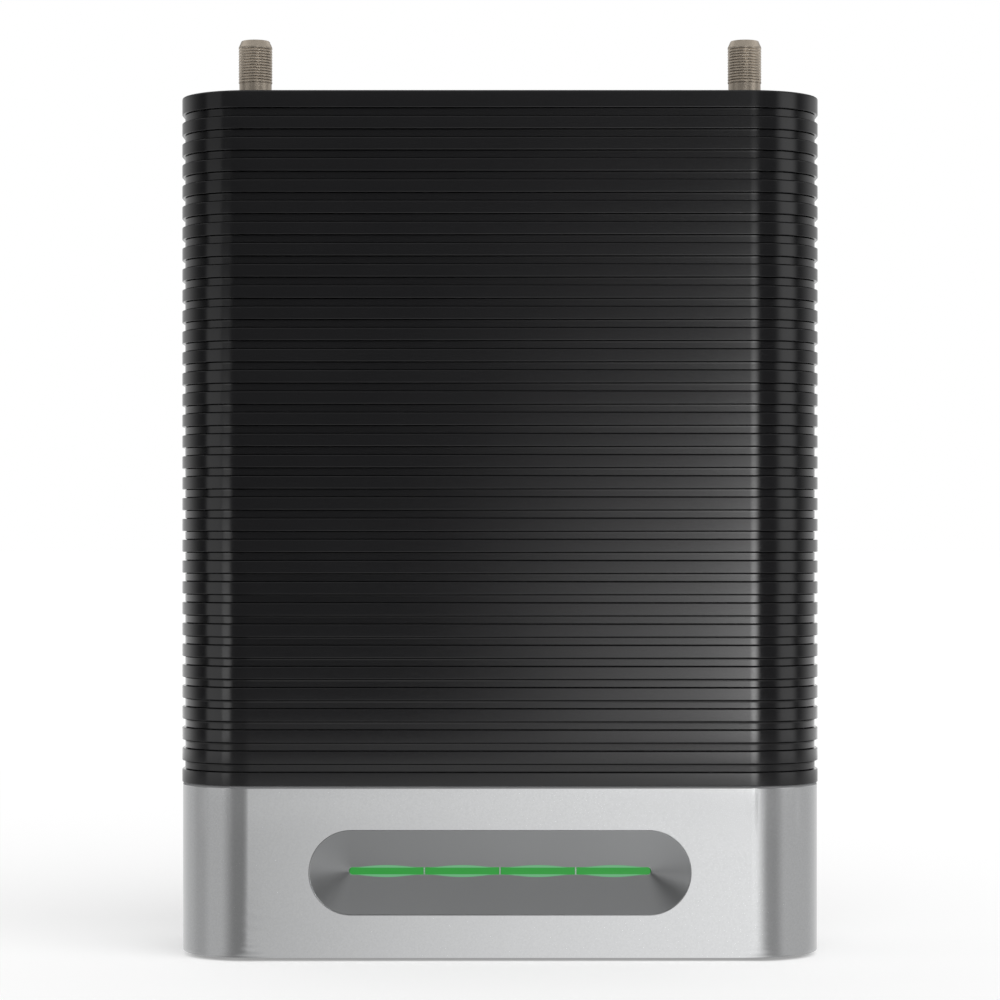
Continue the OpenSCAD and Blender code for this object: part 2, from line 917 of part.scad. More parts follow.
// The slot for one light segment, number i of 4 from the left, grown by a gap
module segment_outline(i, grow) {
    w = segment_pitch - divider_w;
    end = i == 0 ? -1 : (i == 3 ? 1 : 0);
    r = bar_h / 2;
    translate([(i - 1.5) * segment_pitch, 0])
        if (end == 0) {
            square([w + 2 * grow, bar_h + 2 * grow], center = true);
        } else {
            translate([-end * r / 2, 0])
                square([w - r + 2 * grow, bar_h + 2 * grow], center = true);
            translate([end * (w / 2 - r), 0])
                circle(r + grow);
        }
}

// A trough with half-cone ends: its mouth is the whole dish, its floor the light bar
module dish_cut() {
    mouth = dish_h / 2;
    floor_half = bar_h / 2;
    run = dish_w / 2 - mouth;
    slope = (mouth - floor_half) / dish_depth;
    translate([-run, 0, 0])
        rotate([90, 0, 90])
            linear_extrude(2 * run)
                polygon([
                    [base_front_y - past, mouth + slope * past],
                    [dish_floor_y, floor_half],
                    [dish_floor_y, -floor_half],
                    [base_front_y - past, -mouth - slope * past]
                ]);
    for (x = [-run, run])
        translate([x, base_front_y - past, 0])
            rotate([-90, 0, 0])
                cylinder(h = dish_depth + past, r1 = mouth + slope * past, r2 = floor_half, $fn = 96);
}

module light_bezel() {
    color("#9a9c9e")
        translate([0, 0, dish_mid_z])
            difference() {
                union() {
                    back_to(base_front_y, bezel_rear_y)
                        stadium(dish_w, dish_h);
                    back_to(flange_y, flange_y + flange_t)
                        stadium(dish_w + 2 * flange_w, dish_h + 2 * flange_w);
                    mirror_x()
                        rod_y(led_post_x, bezel_rear_y, led_board_y, 0, led_post_r);
                }
                dish_cut();
                back_to(dish_floor_y - past, bezel_rear_y + past)
                    for (i = [0 : 3])
                        segment_outline(i, light_gap);
                mirror_x()
                    rod_y(led_post_x, bezel_rear_y, led_board_y + past, 0, pilot_r);
            }
}

module light_segment(i) {
    w = segment_pitch - divider_w;
    foot_w = w - 2 * light_foot_w;
    color("#339743")
        translate([0, 0, dish_mid_z]) {
            back_to(dish_floor_y, bezel_rear_y)
                segment_outline(i, 0);
            translate([(i - 1.5) * segment_pitch - foot_w / 2, bezel_rear_y, -bar_h / 2 - light_foot_w])
                cube([foot_w, light_foot_l, bar_h + 2 * light_foot_w]);
        }
}

module led_board() {
    color("#1f5c38")
        difference() {
            translate([-led_board_w / 2, led_board_y, dish_mid_z - led_board_h / 2])
                cube([led_board_w, board_t, led_board_h]);
            mirror_x()
                rod_y(led_post_x, led_board_y - past, led_board_rear_y + past, dish_mid_z, hole_r);
        }
}

module leds() {
    color("#e8f0d8")
        translate([0, 0, dish_mid_z])
            back_to(led_board_y - led_t, led_board_y)
                for (i = [0 : 7])
                    translate([(i - 3.5) * segment_pitch / 2, 0])
                        square([led_w, bar_h], center = true);
}

// ---- Ribbon cable ----

// A quarter turn of the ribbon seen from its edge, from an angle on
module ribbon_bend(from) {
    rotate(from)
        intersection() {
            difference() {
                circle(ribbon_bend_r + ribbon_t / 2);
                circle(ribbon_bend_r - ribbon_t / 2);
            }
            square(2 * ribbon_bend_r);
        }
}

module ribbon_cable() {
    low_z = led_socket_z + socket_h;
    color("#b9b9b4")
        translate([-ribbon_w / 2, 0, 0])
            rotate([90, 0, 90])
                linear_extrude(ribbon_w) {
                    translate([ribbon_low_y - ribbon_t / 2, low_z])
                        square([ribbon_t, ribbon_z - ribbon_bend_r - low_z]);
                    translate([ribbon_low_y + ribbon_bend_r, ribbon_z - ribbon_bend_r])
                        ribbon_bend(90);
                    translate([ribbon_low_y + ribbon_bend_r, ribbon_z - ribbon_t / 2])
                        square([ribbon_high_y - ribbon_low_y - 2 * ribbon_bend_r, ribbon_t]);
                    translate([ribbon_high_y - ribbon_bend_r, ribbon_z + ribbon_bend_r])
                        ribbon_bend(270);
                    translate([ribbon_high_y - ribbon_t / 2, ribbon_z + ribbon_bend_r])
                        square([ribbon_t, board_socket_z - ribbon_z - ribbon_bend_r]);
                }
}

module ribbon_sockets() {
    w = ribbon_w + socket_extra_w;
    color("#dcd8c8") {
        translate([-w / 2, led_board_rear_y, led_socket_z])
            cube([w, socket_t, socket_h]);
        translate([-w / 2, board_front_y - socket_t, board_socket_z])
            cube([w, socket_t, socket_h]);
    }
}

// ---- Ports, drawn at the origin's axis and set to one side ----

// Half outline of a ringed thread from z0 up to z1, as points outside the axis
function thread_points(z0, z1) =
    let (n = floor((z1 - z0) / thread_pitch))
    [for (i = [0 : n - 1])
        for (p = [[0, -thread_depth], [thread_flank, 0], [1 - thread_flank, 0], [1, -thread_depth]])
            [thread_r + p[1], z0 + (i + p[0]) * thread_pitch]];

module port_body() {
    upper = thread_points(thread_z, tip_z - tip_l);
    color("#a39a8c")
        difference() {
            union() {
                rotate_extrude($fn = 96)
                    polygon(concat(
                        [[0, thread_z]],
                        upper,
                        [[thread_r, tip_z - tip_l], [tip_r, tip_z], [0, tip_z]]));
                translate([0, 0, neck_z])
                    cylinder(h = neck_l, r = neck_r, $fn = 96);
                translate([0, 0, hex_z])
                    linear_extrude(port_hex_t)
                        hexagon(port_hex_af);
                translate([0, 0, tail_z])
                    cylinder(h = hex_z - tail_z, r = thread_r, $fn = 96);
            }
            translate([0, 0, tail_z - past])
                cylinder(h = tip_z - tail_z + 2 * past, r = port_bore_r, $fn = 96);
        }
}

module port_insulator() {
    color("#ece9e0")
        difference() {
            translate([0, 0, tail_z])
                cylinder(h = insulator_z - tail_z, r = port_bore_r - port_gap);
            translate([0, 0, tail_z - past])
                cylinder(h = contact_z - tail_z + past, r = contact_r + port_gap);
            translate([0, 0, tail_z])
                cylinder(h = tip_z - tail_z, r = wire_hole_r);
        }
}

module port_contact() {
    color("#c9a24a")
        difference() {
            translate([0, 0, tail_z])
                cylinder(h = contact_z - tail_z, r = contact_r);
            translate([0, 0, contact_z - wire_hole_l])
                cylinder(h = wire_hole_l + past, r = wire_hole_r);
        }
}

module port_lead() {
    bend_z = tail_z - lead_drop;
    color("#b58a4a") {
        translate([0, 0, bend_z])
            cylinder(h = lead_drop, r = lead_r);
        translate([0, lead_bend_r, bend_z])
            rotate([90, 0, 90])
                rotate(180)
                    rotate_extrude(angle = 90)
                        translate([lead_bend_r, 0])
                            circle(lead_r);
        rod_y(0, lead_bend_r, board_front_y, bend_z - lead_bend_r, lead_r);
    }
}

module at_port(side) {
    translate([side * port_x, 0, 0])
        children();
}

module port_washers() {
    color("#b8b4aa")
        mirror_x()
            translate([port_x, 0, washer_z])
                difference() {
                    cylinder(h = washer_t, r = washer_r);
                    translate([0, 0, -past])
                        cylinder(h = washer_t + 2 * past, r = thread_r + port_hole_gap);
                }
}

module port_nuts() {
    color("#b8b4aa")
        mirror_x()
            translate([port_x, 0, panel_z - port_nut_t])
                difference() {
                    linear_extrude(port_nut_t)
                        hexagon(port_nut_af);
                    translate([0, 0, -past])
                        cylinder(h = port_nut_t + 2 * past, r = thread_r + port_gap);
                }
}

// ---- Power jack ----

module dc_jack_body() {
    color("#161616")
        difference() {
            union() {
                translate([-jack_w / 2, -jack_d / 2, jack_z])
                    cube([jack_w, jack_d, jack_l]);
                translate([-jack_w / 2 - jack_collar_w, -jack_d / 2 - jack_collar_w, panel_z - jack_collar_t])
                    cube([jack_w + 2 * jack_collar_w, jack_d + 2 * jack_collar_w, jack_collar_t]);
            }
            translate([0, 0, panel_top_z - jack_bore_l])
                cylinder(h = jack_bore_l + past, r = jack_bore_r);
            translate([0, 0, jack_z - past])
                cylinder(h = jack_l - jack_bore_l + 2 * past, r = jack_root_r + port_gap);
        }
}

// A leg from y0 back to the board's face and down it, with its upper face at z
module jack_leg(x, y0, z) {
    translate([x - terminal_w / 2, y0, z - terminal_t])
        cube([terminal_w, board_front_y - y0, terminal_t]);
    translate([x - terminal_w / 2, board_front_y - terminal_t, board_top_z - terminal_lap])
        cube([terminal_w, terminal_t, z - board_top_z + terminal_lap]);
}

// The centre pin with its terminal, which runs under the jack to the board
module dc_jack_pin() {
    color("#c8c8c8") {
        translate([0, 0, jack_z])
            cylinder(h = jack_l - jack_pin_recess, r = jack_pin_r);
        translate([0, 0, jack_z])
            cylinder(h = jack_l - jack_bore_l, r = jack_root_r);
        jack_leg(0, -terminal_w / 2, jack_z);
    }
}

// The sleeve's contact, a strip on the jack's back with a leg to the board
module dc_jack_spring() {
    color("#c8c8c8") {
        translate([terminal_dx - terminal_w / 2, jack_d / 2, spring_z])
            cube([terminal_w, terminal_t, panel_z - jack_collar_t - spring_z]);
        jack_leg(terminal_dx, jack_d / 2, spring_z + terminal_t);
    }
}

// ---- Main board and what it carries ----

module sink_pillar_places() {
    mirror_x()
        for (z = sink_pillar_z)
            translate([sink_pillar_x, 0, z])
                children();
}

module main_board() {
    color("#1f5c38")
        difference() {
            translate([-board_w / 2, board_front_y, board_z])
                cube([board_w, board_t, board_h]);
            board_post_places()
                rod_y(0, board_front_y - past, board_rear_y + past, 0, hole_r);
            sink_pillar_places()
                rod_y(0, board_front_y - past, board_rear_y + past, 0, hole_r);
        }
}

module controller_chip() {
    color("#202020")
        on_board(controller_x, upper_row_z, controller_w, controller_w, controller_t);
}

module duplexers() {
    color("#cfc7ad")
        for (side = [-1, 1])
            for (i = [0 : duplexer_count - 1])
                on_board(
                    side * (shield_x + duplexer_dx),
                    board_mid_z + (i - (duplexer_count - 1) / 2) * duplexer_pitch,
                    duplexer_w, duplexer_h, duplexer_t);
}

module power_amplifiers() {
    color("#262626")
        for (side = [-1, 1])
            for (row = [-0.5, 0.5])
                on_board(
                    side * amplifier_x, board_mid_z + row * amplifier_pitch,
                    amplifier_w, amplifier_w, amplifier_t);
}

module gain_chips() {
    color("#303030")
        for (side = [-1, 1])
            for (row = [-1, 0, 1])
                on_board(
                    side * (shield_x - gain_chip_dx), board_mid_z + row * amplifier_pitch / 2,
                    gain_chip_w, gain_chip_w, gain_chip_t);
}

module inductors() {
    color("#4a4a4a")
        for (x = [-1, 1])
            on_board(x * inductor_x, board_z + inductor_lift, inductor_w, inductor_w, inductor_t);
}

module capacitors() {
    color("#8f949c")
        for (i = [0 : 2])
            rod_y(
                -capacitor_x - i * capacitor_pitch, board_front_y - capacitor_l, board_front_y,
                upper_row_z, capacitor_r);
}

module shield_frame(side) {
    color("#c9cbcc")
        difference() {
            on_board(side * shield_x, board_mid_z, shield_w, shield_h, shield_d);
            translate([0, -past, 0])
                on_board(
                    side * shield_x, board_mid_z,
                    shield_w - 2 * shield_t, shield_h - 2 * shield_t, shield_d);
            translate([0, past, 0])
                on_board(
                    side * shield_x, board_mid_z,
                    shield_w - 2 * shield_t, shield_h - 2 * shield_t, shield_d);
        }
}

module shield_lid(side) {
    grow = 2 * (lid_gap + shield_t);
    lid_y = board_front_y - shield_d;
    color("#d6d8d9")
        translate([side * shield_x, 0, board_mid_z])
            difference() {
                back_to(lid_y - shield_t, lid_y + lid_skirt)
                    square([shield_w + grow, shield_h + grow], center = true);
                back_to(lid_y, lid_y + lid_skirt + past)
                    square([shield_w + 2 * lid_gap, shield_h + 2 * lid_gap], center = true);
            }
}

// ---- Heat sink ----

module pad_places() {
    for (side = [-1, 1])
        for (row = [-0.5, 0.5])
            translate([side * amplifier_x, 0, board_mid_z + row * amplifier_pitch])
                children();
}

module heat_sink() {
    fin_run = 2 * sink_half_w - fin_t;
    color("#8d9093")
        difference() {
            union() {
                translate([-sink_half_w, sink_y, sink_z])
                    cube([2 * sink_half_w, sink_t, sink_h]);
                for (i = [0 : fin_count - 1])
                    translate([-sink_half_w + i * fin_run / (fin_count - 1), sink_y, sink_z])
                        cube([fin_t, rear_in_y - fin_gap - sink_y, sink_h]);
                sink_pillar_places()
                    rod_y(0, board_rear_y, sink_y + sink_t / 2, 0, sink_pillar_r);
                pad_places()
                    translate([-pad_w / 2, board_rear_y + pad_t, -pad_w / 2])
                        cube([pad_w, sink_standoff - pad_t + sink_t / 2, pad_w]);
            }
            sink_pillar_places()
                rod_y(0, board_rear_y - past, board_rear_y + short_screw_l, 0, pilot_r);
        }
}

module thermal_pads() {
    color("#7fa3b5")
        pad_places()
            translate([-pad_w / 2, board_rear_y, -pad_w / 2])
                cube([pad_w, pad_t, pad_w]);
}

// ---- Screws ----

module case_screws() {
    color("#3a3a3a")
        case_screw_places()
            translate([0, case_seat_y, 0])
                rotate([-90, 0, 0])
                    screw(case_screw_l);
}

module deck_screws() {
    color("#8a8a8a")
        deck_screw_places()
            translate([0, 0, deck_z - deck_t])
                rotate([180, 0, 0])
                    screw(short_screw_l);
}

module plate_screws() {
    color("#3a3a3a")
        plate_screw_places()
            translate([0, 0, plate_z + screw_head_h])
                rotate([180, 0, 0])
                    screw(short_screw_l);
}

module board_screws() {
    color("#8a8a8a")
        board_post_places()
            translate([0, board_front_y, 0])
                rotate([90, 0, 0])
                    screw(short_screw_l);
}

module heat_sink_screws() {
    color("#8a8a8a")
        sink_pillar_places()
            translate([0, board_front_y, 0])
                rotate([90, 0, 0])
                    screw(short_screw_l);
}

module led_board_screws() {
    color("#8a8a8a")
        mirror_x()
            translate([led_post_x, led_board_rear_y, dish_mid_z])
                rotate([-90, 0, 0])
                    screw(led_board_y - bezel_rear_y);
}

front_housing();
rear_housing();
port_panel();
base_shell();
base_plate();
foot(-1, -1);  // foot_front_left
foot(1, -1);  // foot_front_right
foot(-1, 1);  // foot_rear_left
foot(1, 1);  // foot_rear_right
light_bezel();
light_segment(0);  // light_segment_1
light_segment(1);  // light_segment_2
light_segment(2);  // light_segment_3
light_segment(3);  // light_segment_4
led_board();
leds();
ribbon_cable();
ribbon_sockets();
at_port(-1) port_body();  // outside_port_body
at_port(-1) port_insulator();  // outside_port_insulator
at_port(-1) port_contact();  // outside_port_contact
at_port(-1) port_lead();  // outside_port_lead
at_port(1) port_body();  // inside_port_body
at_port(1) port_insulator();  // inside_port_insulator
at_port(1) port_contact();  // inside_port_contact
at_port(1) port_lead();  // inside_port_lead
port_washers();
port_nuts();
dc_jack_body();
dc_jack_pin();
dc_jack_spring();
main_board();
controller_chip();
duplexers();
power_amplifiers();
gain_chips();
inductors();
capacitors();
shield_frame(-1);  // uplink_shield_frame
shield_lid(-1);  // uplink_shield_lid
shield_frame(1);  // downlink_shield_frame
shield_lid(1);  // downlink_shield_lid
heat_sink();
thermal_pads();
case_screws();
deck_screws();
plate_screws();
board_screws();
heat_sink_screws();
led_board_screws();
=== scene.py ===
import json
import math

import bmesh
import bpy
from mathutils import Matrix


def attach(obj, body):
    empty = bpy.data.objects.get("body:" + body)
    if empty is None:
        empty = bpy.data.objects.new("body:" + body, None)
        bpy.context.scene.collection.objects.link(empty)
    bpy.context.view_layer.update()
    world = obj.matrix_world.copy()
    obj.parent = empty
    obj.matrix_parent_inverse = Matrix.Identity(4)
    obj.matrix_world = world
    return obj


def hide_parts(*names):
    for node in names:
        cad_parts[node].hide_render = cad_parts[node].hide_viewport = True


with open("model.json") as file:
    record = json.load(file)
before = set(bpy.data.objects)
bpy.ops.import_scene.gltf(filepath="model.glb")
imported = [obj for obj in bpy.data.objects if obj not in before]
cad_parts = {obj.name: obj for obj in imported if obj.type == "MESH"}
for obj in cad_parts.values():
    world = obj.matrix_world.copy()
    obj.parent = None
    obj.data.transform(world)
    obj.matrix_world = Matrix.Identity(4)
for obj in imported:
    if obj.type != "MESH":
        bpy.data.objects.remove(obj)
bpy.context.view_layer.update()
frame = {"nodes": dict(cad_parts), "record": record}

bl_info = {
    "name": "Signal booster",
    "version": (1, 0, 0),
    "blender": (4, 5, 0),
    "location": "3D View > Sidebar > Booster",
    "description": "Builds the finished look of an upright signal booster on its CAD frame",
    "category": "Add Mesh",
}

# One millimetre, in metres
MM = 0.001
# The one body, which every piece rides on
BODY = "root"
# Points nearer than this are merged
MERGE = 0.002 * MM
# The materials by the record's slot, once they are made
MADE = {}


# ---- Sizes and colours a user would change ----


def length(name, description, millimetres):
    """A size property, given in millimetres and kept in metres."""
    return bpy.props.FloatProperty(
        name=name,
        description=description,
        default=millimetres * MM,
        precision=5,
        unit="LENGTH",
    )


def linear(code):
    """An sRGB hex colour as linear red, green and blue."""
    parts = [int(code[i:i + 2], 16) / 255 for i in (0, 2, 4)]
    return tuple(p / 12.92 if p <= 0.04045 else ((p + 0.055) / 1.055) ** 2.4 for p in parts)


def colour(name, description, code):
    """A colour property with its default given as sRGB hex."""
    return bpy.props.FloatVectorProperty(
        name=name,
        description=description,
        default=linear(code),
        size=3,
        min=0,
        max=1,
        subtype="COLOR",
    )


class BodySizes(bpy.types.PropertyGroup):
    """The two housings."""

    width: length("Width", "Across the crests of the ribs", 177.6)
    depth: length("Depth", "Front to back, over the crests of the ribs", 66)
    corner: length("Corner radius", "Radius of the upright corners", 20)
    skin: length("Skin", "From a crest to the inside of the wall", 2.98)
    low: length("Bottom", "Height of the lowest rib's lower edge", 48.1)
    high: length("Top", "Height of the flat top", 238.65)
    roof: length("Roof", "Thickness of the flat top", 2.5)
    joint: length("Joint", "Where the two housings meet, behind the middle", 12)
    lip: length("Lip", "Height of the set-back strip under the ribs", 0.7)
    lip_inset: length("Lip inset", "How far the strip under the ribs is set back", 1)
    opening_w: length("Opening width", "Width of the opening in the top", 156)
    opening_d: length("Opening depth", "Depth of the opening in the top", 36)
    opening_r: length("Opening corner", "Corner radius of the opening in the top", 5)
    seam: length("Seam", "Depth of the fine V where the housings meet", 0.15)


class GrooveSizes(bpy.types.PropertyGroup):
    """The grooves that run round the housings."""

    count: bpy.props.IntProperty(name="Count", description="How many grooves", default=32, min=0)
    first: length("First", "Height of the lowest groove's lower edge", 51.74)
    pitch: length("Pitch", "From one groove to the next", 5.8)
    height: length("Height", "Height of one groove", 2.42)
    depth: length("Depth", "Depth of one groove", 0.83)
    plain: length("Plain field", "Half width of the ungrooved field on the back", 66)
    v_height: length("Corner V height", "Height of the V in a groove's inner corners", 0.25)
    v_depth: length("Corner V depth", "Depth of the V behind a groove's floor", 0.5)
    ramp: length("Floor ramp", "How far a groove's floor comes forward under its upper V", 0.03)
    ramp_height: length("Floor ramp height", "Height of that ramp", 0.5)
    outer_edge: length("Outer edge", "Rounding of a crest's edges", 0.2)
    root_edge: length("Root edge", "Rounding where a groove's floor meets its lower V", 0.06)
    top_edge: length("Top edge", "Rounding of the body's upper edge", 0.5)


class BackSizes(bpy.types.PropertyGroup):
    """Vents, keyholes and screws in the back."""

    columns: bpy.props.IntProperty(name="Columns", description="Vents side by side", default=9, min=1)
    pitch: length("Pitch", "From one vent to the next", 8)
    vent_w: length("Vent width", "Width of one vent", 2.6)
    vent_h: length("Vent height", "Height of one vent", 36)
    middle: length("Middle", "Height between the two rows of vents", 142.65)
    row: length("Row", "From one row of vents to the other", 66)
    keyhole_x: length("Keyhole side", "From the middle to a keyhole", 54)
    keyhole_z: length("Keyhole height", "Height of the lower keyholes", 87.65)
    keyhole_dz: length("Keyhole step", "From the lower keyholes to the upper", 110)
    keyhole_r: length("Keyhole radius", "Radius of a keyhole's round end", 4.75)
    slot_r: length("Slot radius", "Half width of a keyhole's slot", 2.25)
    slot: length("Slot", "How far a keyhole's slot runs up", 8)
    seat_r: length("Seat radius", "Radius of a screw's seat", 3.05)
    edge: length("Edge", "Chamfer round the openings in the back", 0.3)


class BaseSizes(bpy.types.PropertyGroup):
    """The silver base."""

    inset: length("Inset", "How far the base is set back from the ribs", 0.5)
    low: length("Bottom", "Height of the base's lower edge", 1)
    high: length("Top", "Height of the base's deck", 47.4)
    wall: length("Wall", "Thickness of the wall", 2.2)
    deck: length("Deck", "Thickness of the deck", 2.2)
    window_w: length("Window width", "Width of the opening in the deck", 109)
    window_d: length("Window depth", "Depth of the opening in the deck", 41)
    rim: length("Rim", "Height of the sloping rim that fills the joint under the ribs", 0.63)
    rim_inset: length("Rim slope", "How far the rim slopes back", 0.23)
    rim_back: length("Rim back", "Where the rim's inner side stands", 0.47)
    foot_edge: length("Foot edge", "Rounding of the lower edge", 0.5)
    side_reach: length("Side reach", "How much less the sides stand back than the front", 0.3)
    foot_r: length("Foot radius", "Radius of a foot", 7)
    foot_x: length("Foot side", "From the middle to a foot, sideways", 58)
    foot_y: length("Foot end", "From the middle to a foot, to the front", 15)
    foot_top: length("Foot top", "Height of a foot", 2.2)


class LightSizes(bpy.types.PropertyGroup):
    """The dish in the base and its light bar."""

    width: length("Dish width", "Width of the dish", 104.8)
    height: length("Dish height", "Height of the dish", 23.3)
    depth: length("Dish depth", "Depth of the dish", 5)
    middle: length("Middle", "Height of the dish's middle", 24.35)
    gap: length("Gap", "Between the dish and the base", 0.02)
    rim: length("Rim", "Rounding of the dish's rim", 0.06)
    bar_w: length("Bar width", "Width of the light bar", 82.8)
    bar_h: length("Bar height", "Height of the light bar", 1.95)
    # The shoulders are pale glowing lips that stand for the bar's light spilling onto the dish: painted light
    spill_shoulder: length("Shoulder", "How far a segment's pale shoulders reach into the dish", 0.68)
    divider: length("Divider", "Between two segments of the bar", 0.5)
    bar_gap: length("Bar gap", "Round each segment", 0.05)


class PortSizes(bpy.types.PropertyGroup):
    """The two threaded ports and the power jack."""

    side: length("Side", "From the middle to a port", 69.4)
    thread_r: length("Thread radius", "Radius at the crests of the thread", 4.7625)
    thread_depth: length("Thread depth", "Depth of the thread", 0.2)
    thread_pitch: length("Thread pitch", "From one ring to the next", 0.79375)
    rings: bpy.props.IntProperty(name="Rings", description="Rings of thread", default=12, min=1)
    bore_r: length("Bore radius", "Radius of the port's inside", 3.3)
    tip_r: length("Tip radius", "Radius of the chamfered tip", 3.95)
    tip: length("Tip", "Length of the chamfered tip", 1.85)
    neck_r: length("Neck radius", "Radius of the plain neck", 4.58)
    hexagon: length("Hexagon", "Across the flats", 11.1)


class StageSettings(bpy.types.PropertyGroup):
    """The camera and the lights."""

    distance: length("Distance", "From the middle of the body to the camera", 908.5)
    eye: length("Eye", "Height of the camera", 115.6)
    lens: bpy.props.FloatProperty(
        name="Lens", description="Focal length on a 36 mm sensor", default=115.2, unit="CAMERA")
    shift: bpy.props.FloatProperty(
        name="Shift", description="Upward shift of the frame", default=0.0395, precision=4)
    room: bpy.props.FloatProperty(
        name="Room light", description="Level of the light from all round", default=0.62, min=0)
    sun: bpy.props.FloatProperty(
        name="Lamp", description="Level of the large soft lamp", default=1.3, min=0, subtype="FACTOR")


class Finishes(bpy.types.PropertyGroup):
    """The main colours."""

    body: colour("Body", "The moulded housings", "1e1e1f")
    base: colour("Base", "The painted base", "e4e5e6")
    dish: colour("Dish", "The dish round the light bar", "959697")
    light: colour("Light", "The lit bar", "33973f")
    # Painted light: this pale glow, on the bar's shoulders and in the dish beside the bar, stands for the
    # bar's light spilling onto the dish
    spill_light: colour("Pale light", "The lit bar's edges over each lamp", "72b184")
    port: colour("Port", "The nickel-plated ports", "cec2b2")


GROUPS = {
    "booster_body": BodySizes,
    "booster_grooves": GrooveSizes,
    "booster_back": BackSizes,
    "booster_base": BaseSizes,
    "booster_light": LightSizes,
    "booster_ports": PortSizes,
    "booster_stage": StageSettings,
    "booster_finish": Finishes,
}


# ---- Nodes ----

# The kinds of node that the trees use most
MATH = "ShaderNodeMath"
VECTOR_MATH = "ShaderNodeVectorMath"
WHOLE_MATH = "FunctionNodeIntegerMath"
COMPARE = "FunctionNodeCompare"
COMBINE = "ShaderNodeCombineXYZ"
SPLIT = "ShaderNodeSeparateXYZ"
PICK = "GeometryNodeIndexSwitch"
SET_POSITION = "GeometryNodeSetPosition"
MAP_RANGE = "ShaderNodeMapRange"
MIX = "ShaderNodeMix"
OBJECT_PLACE = "ShaderNodeTexCoord"
SHADER = "ShaderNodeBsdfPrincipled"


def add(tree, kind, inputs=(), **settings):
    """Adds a node, sets it up and feeds its inputs, in order or by name, with values or from nodes."""
    node = tree.nodes.new(kind)
    for name, value in settings.items():
        setattr(node, name, value)
    fed = inputs if isinstance(inputs, dict) else dict(enumerate(inputs))
    if kind == PICK:
        for _ in range(len(fed) - 1 - len(node.index_switch_items)):
            node.index_switch_items.new()
    for key, value in fed.items():
        if isinstance(key, int):
            socket = node.inputs[key]
        else:
            socket = next(s for s in node.inputs if s.enabled and s.name == key)
        if isinstance(value, bpy.types.Node):
            value = next(s for s in value.outputs if s.enabled)
        if isinstance(value, bpy.types.NodeSocket):
            tree.links.new(value, socket)
        elif socket.type == "RGBA" and len(value) == 3:
            socket.default_value = (*value, 1)
        else:
            socket.default_value = value
    return node


def new_tree(name, lengths, others):
    """A Geometry Nodes tree with one geometry in, inputs for lengths and others, and one geometry out."""
    tree = bpy.data.node_groups.new(name, "GeometryNodeTree")
    sockets = [("Geometry", "Geometry")] + [(label, "Float") for label in lengths] + list(others)
    for label, kind in sockets:
        tree.interface.new_socket(label, in_out="INPUT", socket_type="NodeSocket" + kind)
    tree.interface.new_socket("Geometry", in_out="OUTPUT", socket_type="NodeSocketGeometry")
    return tree


def end_tree(tree, geometry, material):
    """Makes what the tree built real, gives it its material and hands it out."""
    real = add(tree, "GeometryNodeRealizeInstances", {"Geometry": geometry})
    dressed = add(tree, "GeometryNodeSetMaterial", {"Geometry": real, "Material": material})
    add(tree, "NodeGroupOutput", {"Geometry": dressed})
    return tree


def rounded_corner(tree, corner, size, before, after, t):
    """A point on a corner's rounding, which leaves `before` at t = 0 and meets `after` at t = 1."""
    rest = add(tree, MATH, (1.0, t), operation="SUBTRACT")
    early = add(tree, MATH, (rest, 2.0), operation="POWER")
    late = add(tree, MATH, (t, 2.0), operation="POWER")
    first = add(tree, VECTOR_MATH, {"Vector": before, "Scale": early}, operation="SCALE")
    second = add(tree, VECTOR_MATH, {"Vector": after, "Scale": late}, operation="SCALE")
    both = add(tree, VECTOR_MATH, (first, second))
    sized = add(tree, VECTOR_MATH, {"Vector": both, "Scale": size}, operation="SCALE")
    return add(tree, VECTOR_MATH, (corner, sized))


# Points of a wall's section before its first groove, on one groove, and on both its ends together
START_POINTS = 7
GROOVE_POINTS = 16
END_POINTS = 13
# Which of its six corners each point of a groove belongs to, and how far round that corner it lies
GROOVE_CORNERS = (0, 0, 0, 0, 1, 2, 2, 2, 3, 3, 3, 4, 5, 5, 5, 5)
GROOVE_SHARES = (0, 1 / 3, 2 / 3, 1, 0, 0, 1 / 2, 1, 0, 1 / 2, 1, 0, 0, 1 / 3, 2 / 3, 1)
# Steps round the body's lowest edge and round its top edge
LOW_EDGE_STEPS = 3
TOP_EDGE_STEPS = 4
# How far up its height a V is deepest
V_DEEPEST = 0.3
# How near a point counts as on a plane, and how far the plain field stays under the top edge
ON_PLANE = 0.01 * MM
UNDER_TOP = 0.2 * MM


